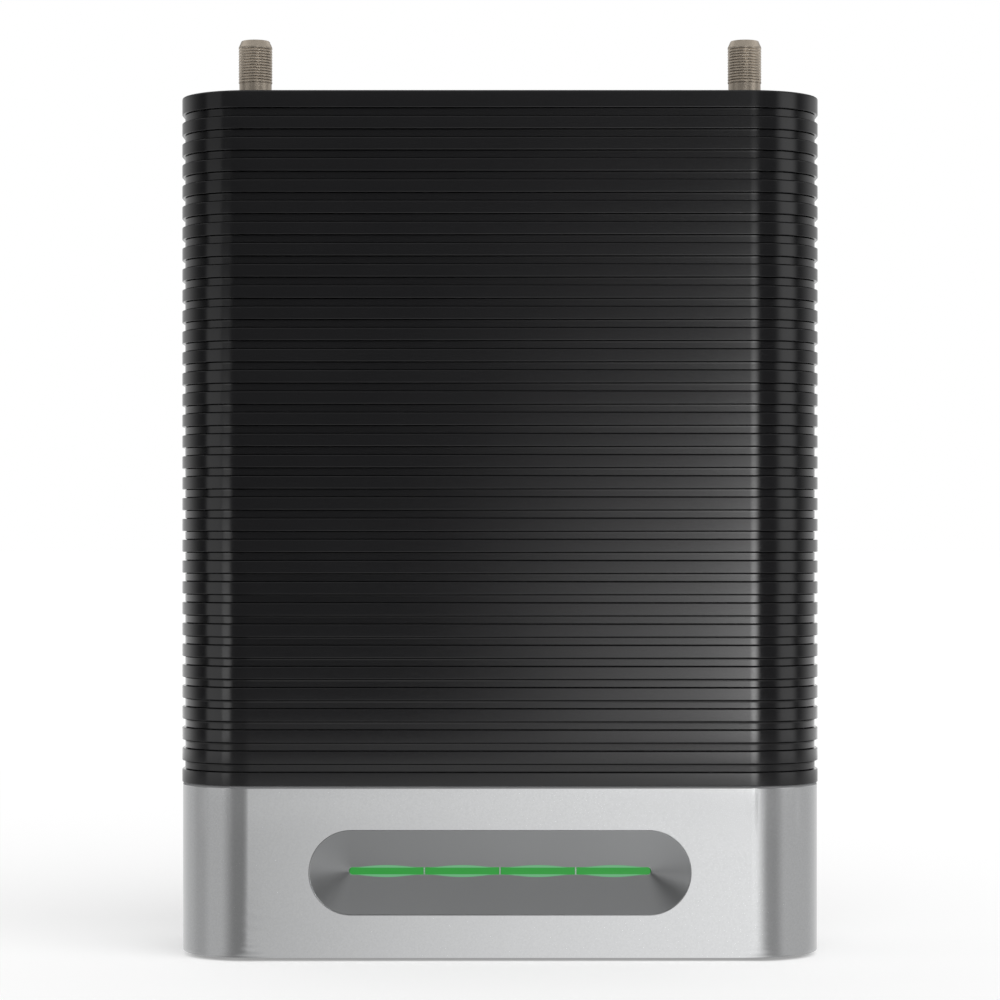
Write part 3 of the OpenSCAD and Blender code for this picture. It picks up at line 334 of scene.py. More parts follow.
def grooved_wall_tree():
    """Sweeps a wall's section along a path: a set-back lip, grooves with rounded edges, a rounded top.

    The section is worked out point by point, as inset and height. A groove has 4 points round each
    outer edge, 1 at the bottom of the V in each inner corner, and 3 at each end of its floor, whose
    upper end comes forward in a low ramp.
    """
    tree = new_tree("Grooved wall", (
        "Wall", "Bottom", "Top", "Lip inset", "Lip height", "First groove", "Pitch", "Groove height",
        "Groove depth", "Flank", "Corner V height", "Corner V depth", "Floor ramp", "Floor ramp height",
        "Outer edge", "Root edge", "Top edge", "Plain half width", "Plain plane", "Seam plane", "Seam"),
        (("Grooves", "Int"), ("Material", "Material")))
    given = add(tree, "NodeGroupInput").outputs
    down = (0, -1, 0)
    up = (0, 1, 0)
    inward = (1, 0, 0)
    index = add(tree, "GeometryNodeInputIndex")
    local = add(tree, WHOLE_MATH, (index, START_POINTS), operation="SUBTRACT")
    groove = add(tree, WHOLE_MATH, (local, GROOVE_POINTS), operation="DIVIDE_FLOOR")
    step = add(tree, WHOLE_MATH, (local, GROOVE_POINTS), operation="FLOORED_MODULO")
    grooved = add(tree, WHOLE_MATH, (given["Grooves"], GROOVE_POINTS), operation="MULTIPLY")
    tail = add(tree, WHOLE_MATH, (local, grooved), operation="SUBTRACT")

    # Each flank runs on to the bottom of its V, and the V comes back out to the groove's floor
    height = given["Groove height"]
    deep = add(tree, MATH, (given["Groove depth"], given["Corner V depth"]))
    low_v = add(tree, MATH, (given["Corner V height"], V_DEEPEST, given["Flank"]), operation="MULTIPLY_ADD")
    low_floor = add(tree, MATH, (given["Flank"], given["Corner V height"]))
    high_v = add(tree, MATH, (height, low_v), operation="SUBTRACT")
    high_floor = add(tree, MATH, (height, low_floor), operation="SUBTRACT")
    ramp_depth = add(tree, MATH, (given["Groove depth"], given["Floor ramp"]), operation="SUBTRACT")
    ramp_down = add(tree, MATH, (given["Floor ramp height"], -1.0), operation="MULTIPLY")
    ramp = add(tree, COMBINE, (given["Floor ramp"], ramp_down))
    crest_low = add(tree, COMBINE)
    v_low = add(tree, COMBINE, (deep, low_v))
    floor_low = add(tree, COMBINE, (given["Groove depth"], low_floor))
    floor_high = add(tree, COMBINE, (ramp_depth, high_floor))
    v_high = add(tree, COMBINE, (deep, high_v))
    crest_high = add(tree, COMBINE, {"Y": height})
    toward = []
    for start, goal in ((crest_low, v_low), (floor_low, v_low), (crest_high, v_high)):
        gap = add(tree, VECTOR_MATH, (goal, start), operation="SUBTRACT")
        toward.append(add(tree, VECTOR_MATH, (gap,), operation="NORMALIZE"))
    which = add(tree, PICK, (step, *GROOVE_CORNERS), data_type="INT")
    share = add(tree, PICK, (step, *GROOVE_SHARES), data_type="FLOAT")
    outer = given["Outer edge"]
    edge = add(tree, PICK, (which, outer, 0.0, given["Root edge"], 1.0, 0.0, outer), data_type="FLOAT")
    corners = (crest_low, v_low, floor_low, floor_high, v_high, crest_high)
    corner = add(tree, PICK, (which, *corners), data_type="VECTOR")
    before = add(tree, PICK, (which, down, down, toward[1], ramp, down, toward[2]), data_type="VECTOR")
    after = add(tree, PICK, (which, toward[0], up, up, (0, 0, 0), up, up), data_type="VECTOR")
    in_groove = rounded_corner(tree, corner, edge, before, after, share)
    lift = add(tree, MATH, (groove, given["Pitch"], given["First groove"]), operation="MULTIPLY_ADD")
    groove_point = add(tree, VECTOR_MATH, (in_groove, add(tree, COMBINE, {"Y": lift})))

    # The lip and the lowest edge, then the top edge and the way back down inside
    lip_top = add(tree, MATH, (given["Bottom"], given["Lip height"]))
    lip_foot = add(tree, COMBINE, (given["Lip inset"], given["Bottom"]))
    lip_head = add(tree, COMBINE, (given["Lip inset"], lip_top))
    past_lip = add(tree, MATH, (index, 3.0), operation="SUBTRACT")
    round_low = add(tree, MATH, (past_lip, LOW_EDGE_STEPS), operation="DIVIDE")
    low_edge = rounded_corner(tree, add(tree, COMBINE, {"Y": lip_top}), outer, inward, up, round_low)
    start = add(tree, PICK, (
        index, add(tree, COMBINE, (given["Wall"], given["Bottom"])), lip_foot, lip_head,
        *[low_edge] * (LOW_EDGE_STEPS + 1)), data_type="VECTOR")
    round_top = add(tree, MATH, (tail, TOP_EDGE_STEPS), operation="DIVIDE")
    top_corner = add(tree, COMBINE, {"Y": given["Top"]})
    top_edge = rounded_corner(tree, top_corner, given["Top edge"], down, inward, round_top)
    top_inside = add(tree, COMBINE, (given["Wall"], given["Top"]))
    end = add(tree, PICK, (tail, *[top_edge] * (TOP_EDGE_STEPS + 1), top_inside), data_type="VECTOR")
    past_grooves = add(tree, COMPARE, {"A": tail, "B": 0}, data_type="INT", operation="GREATER_EQUAL")
    at_start = add(tree, COMPARE, {"A": local, "B": 0}, data_type="INT", operation="LESS_THAN")
    point = add(tree, "GeometryNodeSwitch", {
        "Switch": past_grooves, "False": groove_point, "True": end}, input_type="VECTOR")
    point = add(tree, "GeometryNodeSwitch", {
        "Switch": at_start, "False": point, "True": start}, input_type="VECTOR")
    point = add(tree, VECTOR_MATH, (point, (-1, -1, 0)), operation="MULTIPLY")

    count = add(tree, WHOLE_MATH, (grooved, END_POINTS))
    section = add(tree, "GeometryNodeMeshLine", {"Count": count})
    section = add(tree, SET_POSITION, {"Geometry": section, "Position": point})
    section = add(tree, "GeometryNodeMeshToCurve", {"Mesh": section})
    section = add(tree, "GeometryNodeSetSplineCyclic", {"Geometry": section, "Cyclic": True})
    rail = add(tree, "GeometryNodeMeshToCurve", {"Mesh": given["Geometry"]})
    wall = add(tree, "GeometryNodeCurveToMesh", {
        "Curve": rail, "Profile Curve": section, "Fill Caps": True})

    # A plain field fills the grooves on the back, and a fine V marks the joint
    axes = add(tree, SPLIT, (add(tree, "GeometryNodeInputPosition"),)).outputs
    off_middle = add(tree, MATH, (axes["X"],), operation="ABSOLUTE")
    far_in = add(tree, MATH, (given["Plain plane"], deep), operation="SUBTRACT")
    far_in = add(tree, MATH, (far_in, ON_PLANE), operation="SUBTRACT")
    high = add(tree, MATH, (given["Top"], given["Top edge"]), operation="SUBTRACT")
    high = add(tree, MATH, (high, UNDER_TOP), operation="SUBTRACT")
    low = add(tree, MATH, (outer, -2.0, given["First groove"]), operation="MULTIPLY_ADD")
    chosen = True
    for value, limit, operation in (
            (off_middle, given["Plain half width"], "LESS_THAN"), (axes["Y"], far_in, "GREATER_THAN"),
            (axes["Z"], high, "LESS_THAN"), (axes["Z"], low, "GREATER_THAN")):
        test = add(tree, COMPARE, {"A": value, "B": limit}, data_type="FLOAT", operation=operation)
        chosen = add(tree, "FunctionNodeBooleanMath", (chosen, test), operation="AND")
    flat = add(tree, COMBINE, (axes["X"], given["Plain plane"], axes["Z"]))
    wall = add(tree, SET_POSITION, {"Geometry": wall, "Selection": chosen, "Position": flat})
    at_seam = add(tree, COMPARE, {
        "A": axes["Y"], "B": given["Seam plane"], "Epsilon": ON_PLANE}, data_type="FLOAT", operation="EQUAL")
    pull = add(tree, MATH, (axes["X"],), operation="SIGN")
    for factor in (given["Seam"], -1.0):
        pull = add(tree, MATH, (pull, factor), operation="MULTIPLY")
    pull = add(tree, COMBINE, (pull,))
    wall = add(tree, SET_POSITION, {"Geometry": wall, "Selection": at_seam, "Offset": pull})
    whole = add(tree, "GeometryNodeMergeByDistance", {"Geometry": wall, "Distance": MERGE})
    return end_tree(tree, whole, given["Material"])


def rows_tree():
    """Repeats a piece in columns and rows from where it stands."""
    tree = new_tree("Repeat in rows", (), (
        ("Columns", "Int"), ("Rows", "Int"), ("Column step", "Vector"), ("Row step", "Vector"),
        ("Material", "Material")))
    given = add(tree, "NodeGroupInput").outputs
    index = add(tree, "GeometryNodeInputIndex")
    count = add(tree, WHOLE_MATH, (given["Columns"], given["Rows"]), operation="MULTIPLY")
    column = add(tree, WHOLE_MATH, (index, given["Columns"]), operation="FLOORED_MODULO")
    row = add(tree, WHOLE_MATH, (index, given["Columns"]), operation="DIVIDE_FLOOR")
    across = add(tree, VECTOR_MATH, {"Vector": given["Column step"], "Scale": column}, operation="SCALE")
    upward = add(tree, VECTOR_MATH, {"Vector": given["Row step"], "Scale": row}, operation="SCALE")
    spot = add(tree, VECTOR_MATH, (across, upward))
    points = add(tree, "GeometryNodePoints", {"Count": count, "Position": spot, "Radius": MM})
    copies = add(tree, "GeometryNodeInstanceOnPoints", {"Points": points, "Instance": given["Geometry"]})
    return end_tree(tree, copies, given["Material"])


TREES = {"Grooved wall": grooved_wall_tree, "Repeat in rows": rows_tree}


def run_tree(piece, name, values):
    """Gives a piece a tree with its inputs set, and turns the result into its plain mesh."""
    tree = bpy.data.node_groups.get(name) or TREES[name]()
    modifier = piece.modifiers.new(name, "NODES")
    modifier.node_group = tree
    sockets = {s.name: s.identifier for s in tree.interface.items_tree if s.in_out == "INPUT"}
    for label, value in values.items():
        modifier[sockets[label]] = value
    return settle(piece)


# ---- Meshes ----


def place(name, mesh):
    """An object for a mesh, in the scene."""
    piece = bpy.data.objects.new(name, mesh)
    bpy.context.scene.collection.objects.link(piece)
    return piece


def take(piece):
    """Removes a piece and keeps its mesh."""
    mesh = piece.data
    bpy.data.objects.remove(piece)
    return mesh


def settle(piece):
    """Turns a piece's modifiers into its plain mesh."""
    graph = bpy.context.evaluated_depsgraph_get()
    graph.update()
    before = piece.data
    piece.data = bpy.data.meshes.new_from_object(
        piece.evaluated_get(graph), preserve_all_data_layers=True, depsgraph=graph)
    piece.data.name = piece.name
    piece.modifiers.clear()
    if before.users == 0:
        bpy.data.meshes.remove(before)
    return piece


def from_bmesh(name, bm):
    """A mesh of what was built, which is then let go."""
    mesh = bpy.data.meshes.new(name)
    bm.to_mesh(mesh)
    bm.free()
    return mesh


def outward(mesh):
    """Merges a closed mesh's doubles and points its faces outwards."""
    bm = bmesh.new()
    bm.from_mesh(mesh)
    bmesh.ops.remove_doubles(bm, verts=bm.verts, dist=MERGE)
    bmesh.ops.dissolve_degenerate(bm, edges=bm.edges, dist=MERGE)
    bmesh.ops.recalc_face_normals(bm, faces=bm.faces)
    bm.to_mesh(mesh)
    bm.free()
    return mesh


def ring_mesh(name, rings, ends):
    """A mesh through rings of points, with its ends joined to each other, flat, or left open."""
    bm = bmesh.new()
    made = [[bm.verts.new(p) for p in ring] for ring in rings]
    pairs = list(zip(made, made[1:]))
    if ends == "joined":
        pairs.append((made[-1], made[0]))
    for lower, upper in pairs:
        for i in range(len(lower)):
            j = (i + 1) % len(lower)
            bm.faces.new((lower[i], lower[j], upper[j], upper[i]))
    if ends == "flat":
        bm.faces.new(made[0])
        bm.faces.new(made[-1])
    return from_bmesh(name, bm)


def loft(name, rings, ends="joined"):
    """A closed mesh through rings of points. Open ends have to be single points."""
    return outward(ring_mesh(name, rings, ends))


def arc(x, y, radius, start, sweep, steps):
    """Points round x and y, from an angle on through a sweep, both in degrees."""
    points = []
    for i in range(steps + 1):
        angle = math.radians(start + sweep * i / steps)
        points.append((x + radius * math.cos(angle), y + radius * math.sin(angle)))
    return points


def circle(radius, steps):
    """Points of a circle round the origin."""
    return arc(0, 0, radius, 0, 360, steps)[:-1]


def lathe(name, outline, centre, steps=64, axis="Z"):
    """A mesh turned from (radius, distance) points round an upright axis, or round one along Y."""
    rings = []
    for radius, reach in outline:
        ring = []
        for a, b in circle(radius, steps):
            offset = (a, b, reach) if axis == "Z" else (a, reach, b)
            ring.append(tuple(c + o for c, o in zip(centre, offset)))
        rings.append(ring)
    solid = outline[0][0] == 0 and outline[-1][0] == 0
    return loft(name, rings, "open" if solid else "joined")


def join(name, meshes):
    """One mesh out of several."""
    bm = bmesh.new()
    for mesh in meshes:
        bm.from_mesh(mesh)
    return from_bmesh(name, bm)


def cut(piece, cutter):
    """Cuts one closed mesh out of a piece."""
    tool = place("cutter", cutter)
    modifier = piece.modifiers.new("Cut", "BOOLEAN")
    modifier.operation = "DIFFERENCE"
    modifier.solver = "EXACT"
    modifier.object = tool
    settle(piece)
    bpy.data.objects.remove(tool)


def moved(mesh, rotation, location):
    """A copy of a mesh turned about X by some degrees, then moved."""
    copy = mesh.copy()
    c, s = math.cos(math.radians(rotation)), math.sin(math.radians(rotation))
    for vertex in copy.vertices:
        x, y, z = vertex.co
        vertex.co = (x + location[0], c * y - s * z + location[1], s * y + c * z + location[2])
    return copy


def smooth(piece, angle):
    """Smooth shading with flat faces kept flat and edges kept sharp from some degrees on."""
    piece.data.shade_smooth()
    piece.data.set_sharp_from_angle(angle=math.radians(angle))
    modifier = piece.modifiers.new("Flat faces", "WEIGHTED_NORMAL")
    modifier.mode = "FACE_AREA"
    modifier.weight = 60
    modifier.keep_sharp = True
    settle(piece)


def finish(piece, angle, slot, *nodes):
    """Smooths a piece, gives it its slot's material, hangs it on the body and hides the CAD nodes it stands
    for.
    """
    smooth(piece, angle)
    piece.data.materials.clear()
    piece.data.materials.append(materials(bpy.context.scene)[slot])
    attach(piece, BODY)
    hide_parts(*nodes)
    return piece


def finish_edged_copy(node, name, width, slot):
    """Finishes a copy of a CAD node with its edges rounded."""
    bm = bmesh.new()
    bm.from_mesh(frame["nodes"][node].data)
    bmesh.ops.remove_doubles(bm, verts=bm.verts, dist=MERGE)
    bmesh.ops.dissolve_limit(
        bm, angle_limit=math.radians(0.5), use_dissolve_boundaries=False, verts=bm.verts, edges=bm.edges)
    piece = place(name, from_bmesh(name, bm))
    bevel = piece.modifiers.new("Edges", "BEVEL")
    bevel.width = width * MM
    bevel.segments = 2
    bevel.limit_method = "ANGLE"
    bevel.angle_limit = math.radians(40)
    bevel.use_clamp_overlap = True
    finish(settle(piece), 50, slot, node)


def rounded_rectangle(half_w, half_d, radius, steps):
    """Points of a rounded rectangle, counter-clockwise from the right side's rear end."""
    points = []
    for side, end, start in ((1, 1, 0), (-1, 1, 90), (-1, -1, 180), (1, -1, 270)):
        points += arc(side * (half_w - radius), end * (half_d - radius), radius, start, 90, steps)
    return points


def stadium(run, radius, steps=48):
    """Points of two half circles of a radius, centred a run to each side of the middle."""
    return arc(run, 0, radius, -90, 180, steps) + arc(-run, 0, radius, 90, 180, steps)


def both_sides(side):
    """The points of one side, followed back by their mirror images on the other."""
    return side + [(-x, y) for x, y in reversed(side)]


def turned(points):
    """Points turned half round the middle."""
    return [(-x, -y) for x, y in points]


def lifted(points, height):
    """Points in a plane, at a height."""
    return [(x, y, height) for x, y in points]


def upright(points, y, height=0):
    """Points across and up, stood in the upright plane at y and raised by a height."""
    return [(x, y, height + z) for x, z in points]


def in_mm(points):
    """Points given in millimetres, in metres."""
    return [tuple(value * MM for value in point) for point in points]


# How far from the start of a corner the straight wall gets a point of its own
BESIDE_CORNER = 0.4 * MM
# The chamfer round the opening in the top
TOP_CHAMFER = 0.3 * MM
# How far cutters reach past what they cut
PAST = 0.1 * MM
# The closed rooms behind the keyholes
ROOM_WIDTH = 12.5 * MM
ROOM_DEPTH = 4 * MM
ROOM_WALL = 1.5 * MM


def path_mesh(name, points, closed=False):
    """A path as a mesh of edges."""
    edges = [(i, i + 1) for i in range(len(points) - 1)]
    if closed:
        edges.append((len(points) - 1, 0))
    mesh = bpy.data.meshes.new(name)
    mesh.from_pydata(lifted(points, 0), edges, [])
    return mesh


def half_path(body, joint, plain=0):
    """From the joint on the left, round the front, to the joint on the right."""
    w, d, r = body.width / 2, body.depth / 2, body.corner
    left = [(-w, joint), (-w, joint - body.seam), (-w, r - d + BESIDE_CORNER)]
    left += arc(r - w, r - d, -r, 0, 90, 36)
    left.append((r - w + BESIDE_CORNER, -d))
    if plain:
        left += [(-plain - 0.02 * MM, -d), (-plain + 0.01 * MM, -d)]
    return both_sides(left)


def ribbed_wall(name, scene, path, plain, material):
    """One housing's wall, swept along its path by the tree for grooved walls."""
    body = scene.booster_body
    grooves = scene.booster_grooves
    piece = run_tree(place(name, path_mesh(name, path)), "Grooved wall", {
        "Wall": body.skin,
        "Bottom": body.low - body.lip,
        "Top": body.high,
        "Lip inset": body.lip_inset,
        "Lip height": body.lip,
        "First groove": grooves.first,
        "Pitch": grooves.pitch,
        "Groove height": grooves.height,
        "Groove depth": grooves.depth,
        "Corner V height": grooves.v_height,
        "Corner V depth": grooves.v_depth,
        "Floor ramp": grooves.ramp,
        "Floor ramp height": grooves.ramp_height,
        "Grooves": grooves.count,
        "Outer edge": grooves.outer_edge,
        "Root edge": grooves.root_edge,
        "Top edge": grooves.top_edge,
        "Plain half width": plain,
        "Plain plane": body.depth / 2,
        "Seam plane": body.joint,
        "Seam": body.seam,
        "Material": material,
    })
    outward(piece.data)
    return piece


def roof_outline(body, joint, grow):
    """One half of the flat top inside the wall, with its half of the opening grown."""
    w, d, r = body.width / 2 - body.skin, body.depth / 2 - body.skin, body.corner - body.skin
    outer = [(-w, joint)] + arc(r - w, r - d, -r, 0, 90, 24)
    w, d, r = body.opening_w / 2 + grow, body.opening_d / 2 + grow, body.opening_r + grow
    hole = [(w, joint)] + arc(w - r, r - d, r, 0, -90, 24)
    return both_sides(outer) + both_sides(hole)


def roof_mesh(body, joint, turn):
    """One half of the flat top, with a chamfer round the opening."""
    rings = []
    for height, grow in (
            (body.high - body.roof, 0), (body.high - TOP_CHAMFER, 0), (body.high, TOP_CHAMFER)):
        outline = roof_outline(body, joint, grow)
        rings.append(lifted(turned(outline) if turn else outline, height))
    return loft("roof", rings, "flat")


def through_back(outline, body, edge):
    """A cutter through the back wall that flares at the outer face; outline(grow) gives x and z."""
    face = body.depth / 2
    inside = face - body.skin - MM
    steps = ((inside, 0), (face - edge, 0), (face + PAST, edge + PAST))
    return loft("opening", [upright(outline(grow), y) for y, grow in steps], "flat")


def keyhole_outline(back, x, z, grow, steps=32):
    """A keyhole's round end with its slot above, round its place."""
    r = back.keyhole_r + grow
    s = back.slot_r + grow
    open_at = math.degrees(math.acos(s / r))
    round_end = arc(x, z, r, open_at, -180 - 2 * open_at, steps)
    return round_end + arc(x, z + back.slot, s, 180, -180, steps // 2)


def head_room(x, z, body, slot):
    """The closed room behind a keyhole, open to the wall."""
    face = body.depth / 2 - body.skin
    inside = face - ROOM_DEPTH
    rings = []
    for y, grow in ((inside, 0), (face, 0), (face, ROOM_WALL), (inside - ROOM_WALL, ROOM_WALL)):
        w = ROOM_WIDTH / 2 + grow
        rings.append([
            (x - w, y, z - w), (x + w, y, z - w), (x + w, y, z + w + slot), (x - w, y, z + w + slot)])
    return loft("room", rings, "flat")


def repeat(piece, columns, rows, column_step, row_step, material=None):
    """Repeats a piece in columns and rows."""
    return run_tree(piece, "Repeat in rows", {
        "Columns": columns,
        "Rows": rows,
        "Column step": column_step,
        "Row step": row_step,
        "Material": material,
    })


def pan_head():
    """A pan-head screw with a cross recess, its head's seat at the origin and its axis up."""
    outline = ((0, -3), (1.5, -3), (1.5, 0), (2.72, 0), (2.8, 0.08), (2.8, 0.85),
               (2.62, 1.25), (2.15, 1.58), (1.3, 1.75), (0, 1.8))
    screw = place("screw", lathe("screw", in_mm(outline), (0, 0, 0), 40))
    rings = []
    for z, arm, half in ((0.75, 1.35, 0.38), (1.95, 1.8, 0.47)):
        cross = []
        for turn in range(4):
            c, s = math.cos(math.pi / 2 * turn), math.sin(math.pi / 2 * turn)
            cross += [
                (x * c - y * s, x * s + y * c, z) for x, y in ((arm, half), (half, half), (half, arm))]
        rings.append(in_mm(cross))
    cut(screw, loft("recess", rings, "flat"))
    return take(screw)


# ---- Materials ----

METAL = {"Metallic": 1.0}
# Between these values lies nearly all of a noise texture
NOISE_LOW = 0.3
NOISE_HIGH = 0.7


def repeats(millimetres):
    """How often a pattern of this size fits in a metre, which is a texture's scale."""
    return 1 / (millimetres * MM)


def bare_tree(owner):
    """The emptied node tree of a new material or world."""
    owner.use_nodes = True
    owner.node_tree.nodes.clear()
    return owner.node_tree


def surface(name, dark, light, patch, grain, rough, relief, constants=None):
    """A material whose colour drifts over patches, and whose gloss and relief follow a finer grain.

    patch, grain and relief are in millimetres, and rough is the roughness's range.
    """
    material = bpy.data.materials.new(name)
    tree = bare_tree(material)
    where = add(tree, OBJECT_PLACE).outputs["Object"]
    patches = add(tree, "ShaderNodeTexNoise", {"Vector": where, "Scale": repeats(patch), "Detail": 3.0})
    fine = add(tree, "ShaderNodeTexNoise", {"Vector": where, "Scale": repeats(grain), "Detail": 2.0})
    share = add(tree, MAP_RANGE, {"Value": patches, "From Min": NOISE_LOW, "From Max": NOISE_HIGH})
    tint = add(tree, MIX, {"Factor": share, "A": dark, "B": light}, data_type="RGBA")
    gloss = add(tree, MAP_RANGE, {
        "Value": fine, "From Min": NOISE_LOW, "From Max": NOISE_HIGH, "To Min": rough[0], "To Max": rough[1]})
    bump = add(tree, "ShaderNodeBump", {"Height": fine, "Distance": relief * MM, "Strength": 1.0})
    shader = add(tree, SHADER, {
        "Base Color": tint, "Roughness": gloss, "Normal": bump, **(constants or {})})
    add(tree, "ShaderNodeOutputMaterial", {"Surface": shader})
    return material


def shade(rgb, by):
    """A linear colour made lighter or darker by a factor."""
    return tuple(min(1, part * by) for part in rgb)


def shader_input(material, name):
    """An input of a material's shader."""
    return next(n for n in material.node_tree.nodes if n.bl_idname == SHADER).inputs[name]


def feed(material, name, node):
    """Feeds an input of a material's shader from a node."""
    output = next(s for s in node.outputs if s.enabled)
    material.node_tree.links.new(output, shader_input(material, name))
    return material


def moulded_abs(rgb):
    """Black ABS moulded against a finely eroded steel: satin, with a faint grain in its highlights."""
    return surface("Moulded ABS", shade(rgb, 0.95), shade(rgb, 1.05), 30, 0.9, (0.125, 0.16), 0.0006)


def metallic_paint(rgb):
    """Silver paint over ABS: flakes about 0.1 mm across sparkle in it, drawn at 0.4 mm to show."""
    material = surface(
        "Silver metallic paint", shade(rgb, 0.985), shade(rgb, 1.01), 45, 0.5, (0.055, 0.07), 0.0001, METAL)
    tree = material.node_tree
    where = add(tree, OBJECT_PLACE).outputs["Object"]
    flakes = add(tree, "ShaderNodeTexVoronoi", {"Vector": where, "Scale": repeats(0.4)})
    tone = add(tree, MAP_RANGE, {"Value": flakes.outputs["Color"], "To Min": 0.95, "To Max": 1.01})
    tint = shader_input(material, "Base Color").links[0].from_socket
    flaked = add(tree, VECTOR_MATH, {"Vector": tint, "Scale": tone}, operation="SCALE")
    return feed(material, "Base Color", flaked)


def nickel_plate(rgb):
    """Nickel plate over turned brass: warm grey, with turning marks."""
    return surface(
        "Nickel-plated brass", shade(rgb, 0.96), shade(rgb, 1.03), 2.5, 0.3, (0.32, 0.38), 0.0004,
        {"Metallic": 0.8})


def off_bar(tree, light):
    """How far to the side a point is, and how far it is above or below the light bar's middle."""
    where = add(tree, OBJECT_PLACE).outputs["Object"]
    axes = add(tree, SPLIT, (where,)).outputs
    high = add(tree, MATH, (axes["Z"], light.middle), operation="SUBTRACT")
    return axes["X"], add(tree, MATH, (high,), operation="ABSOLUTE")


def light_guide(finishes, light):
    """Acrylic that carries the lamps' green light evenly. Its shoulders over each lamp glow paler: painted
    light for the lamps' glow spilling onto the dish.
    """
    material = surface(
        "Lit acrylic", shade(finishes.light, 0.08), shade(finishes.light, 0.1), 6, 1, (0.3, 0.36), 0.001,
        {"Specular IOR Level": 0.25, "Emission Strength": 0.88})
    tree = material.node_tree
    across, high = off_bar(tree, light)
    pitch = (light.bar_w + light.divider) / 4
    folded = add(tree, MATH, (across, pitch / 2), operation="PINGPONG")
    near = add(tree, MAP_RANGE, {
        "Value": folded, "From Min": pitch * 0.02, "From Max": pitch * 0.2}, interpolation_type="SMOOTHSTEP")
    rim = add(tree, MAP_RANGE, {
        "Value": high, "From Min": light.bar_h * 0.44, "From Max": light.bar_h * 0.5})
    share = add(tree, MATH, (near, rim), operation="MULTIPLY")
    # Painted light: the shoulders over each lamp, away from the segments' ends, glow paler
    glow = add(tree, MIX, {
        "Factor": share, "A": finishes.light, "B": finishes.spill_light}, data_type="RGBA")
    return feed(material, "Emission Color", glow)


def dish_paint(finishes, light):
    """Satin silver paint, a little darker than the base's. In its dividers and along the slot's edges it
    glows with painted light, for the bar's light spilling onto them.
    """
    material = surface(
        "Satin silver paint", shade(finishes.dish, 0.985), shade(finishes.dish, 1.01), 20, 0.5,
        (0.3, 0.36), 0.001, {"Metallic": 0.85, "Emission Strength": 0.3})
    tree = material.node_tree
    across, high = off_bar(tree, light)
    # Painted light: the bar's spill glows on the dividers and along the slot's edges
    beside = add(tree, MAP_RANGE, {
        "Value": high, "From Min": light.bar_h * 0.5, "From Max": light.bar_h * 0.62,
        "To Min": 1.0, "To Max": 0.0})
    off = add(tree, MATH, (across,), operation="ABSOLUTE")
    within = add(tree, MATH, (off, light.bar_w / 2), operation="LESS_THAN")
    share = add(tree, MATH, (beside, within), operation="MULTIPLY")
    glow = add(tree, MIX, {
        "Factor": share, "A": (0.0, 0.0, 0.0), "B": finishes.spill_light}, data_type="RGBA")
    return feed(material, "Emission Color", glow)


def circuit_board():
    """Epoxy board under green solder mask: copper tracks show through it as paler lines.

    Real ones are about 0.5 mm wide, and these are drawn about 1.7 mm wide, one every 6 mm, to show.
    """
    material = surface("Solder mask", linear("15502e"), linear("1a5c36"), 12, 1.2, (0.3, 0.4), 0.003)
    tree = material.node_tree
    where = add(tree, OBJECT_PLACE).outputs["Object"]
    tracks = add(tree, "ShaderNodeTexWave", {"Vector": where, "Scale": repeats(20), "Distortion": 6.0})
    share = add(tree, MAP_RANGE, {"Value": tracks.outputs["Fac"], "From Min": 0.8, "From Max": 0.86})
    tint = shader_input(material, "Base Color").links[0].from_socket
    both = add(tree, MIX, {"Factor": share, "A": tint, "B": linear("2f7d4c")}, data_type="RGBA")
    return feed(material, "Base Color", both)


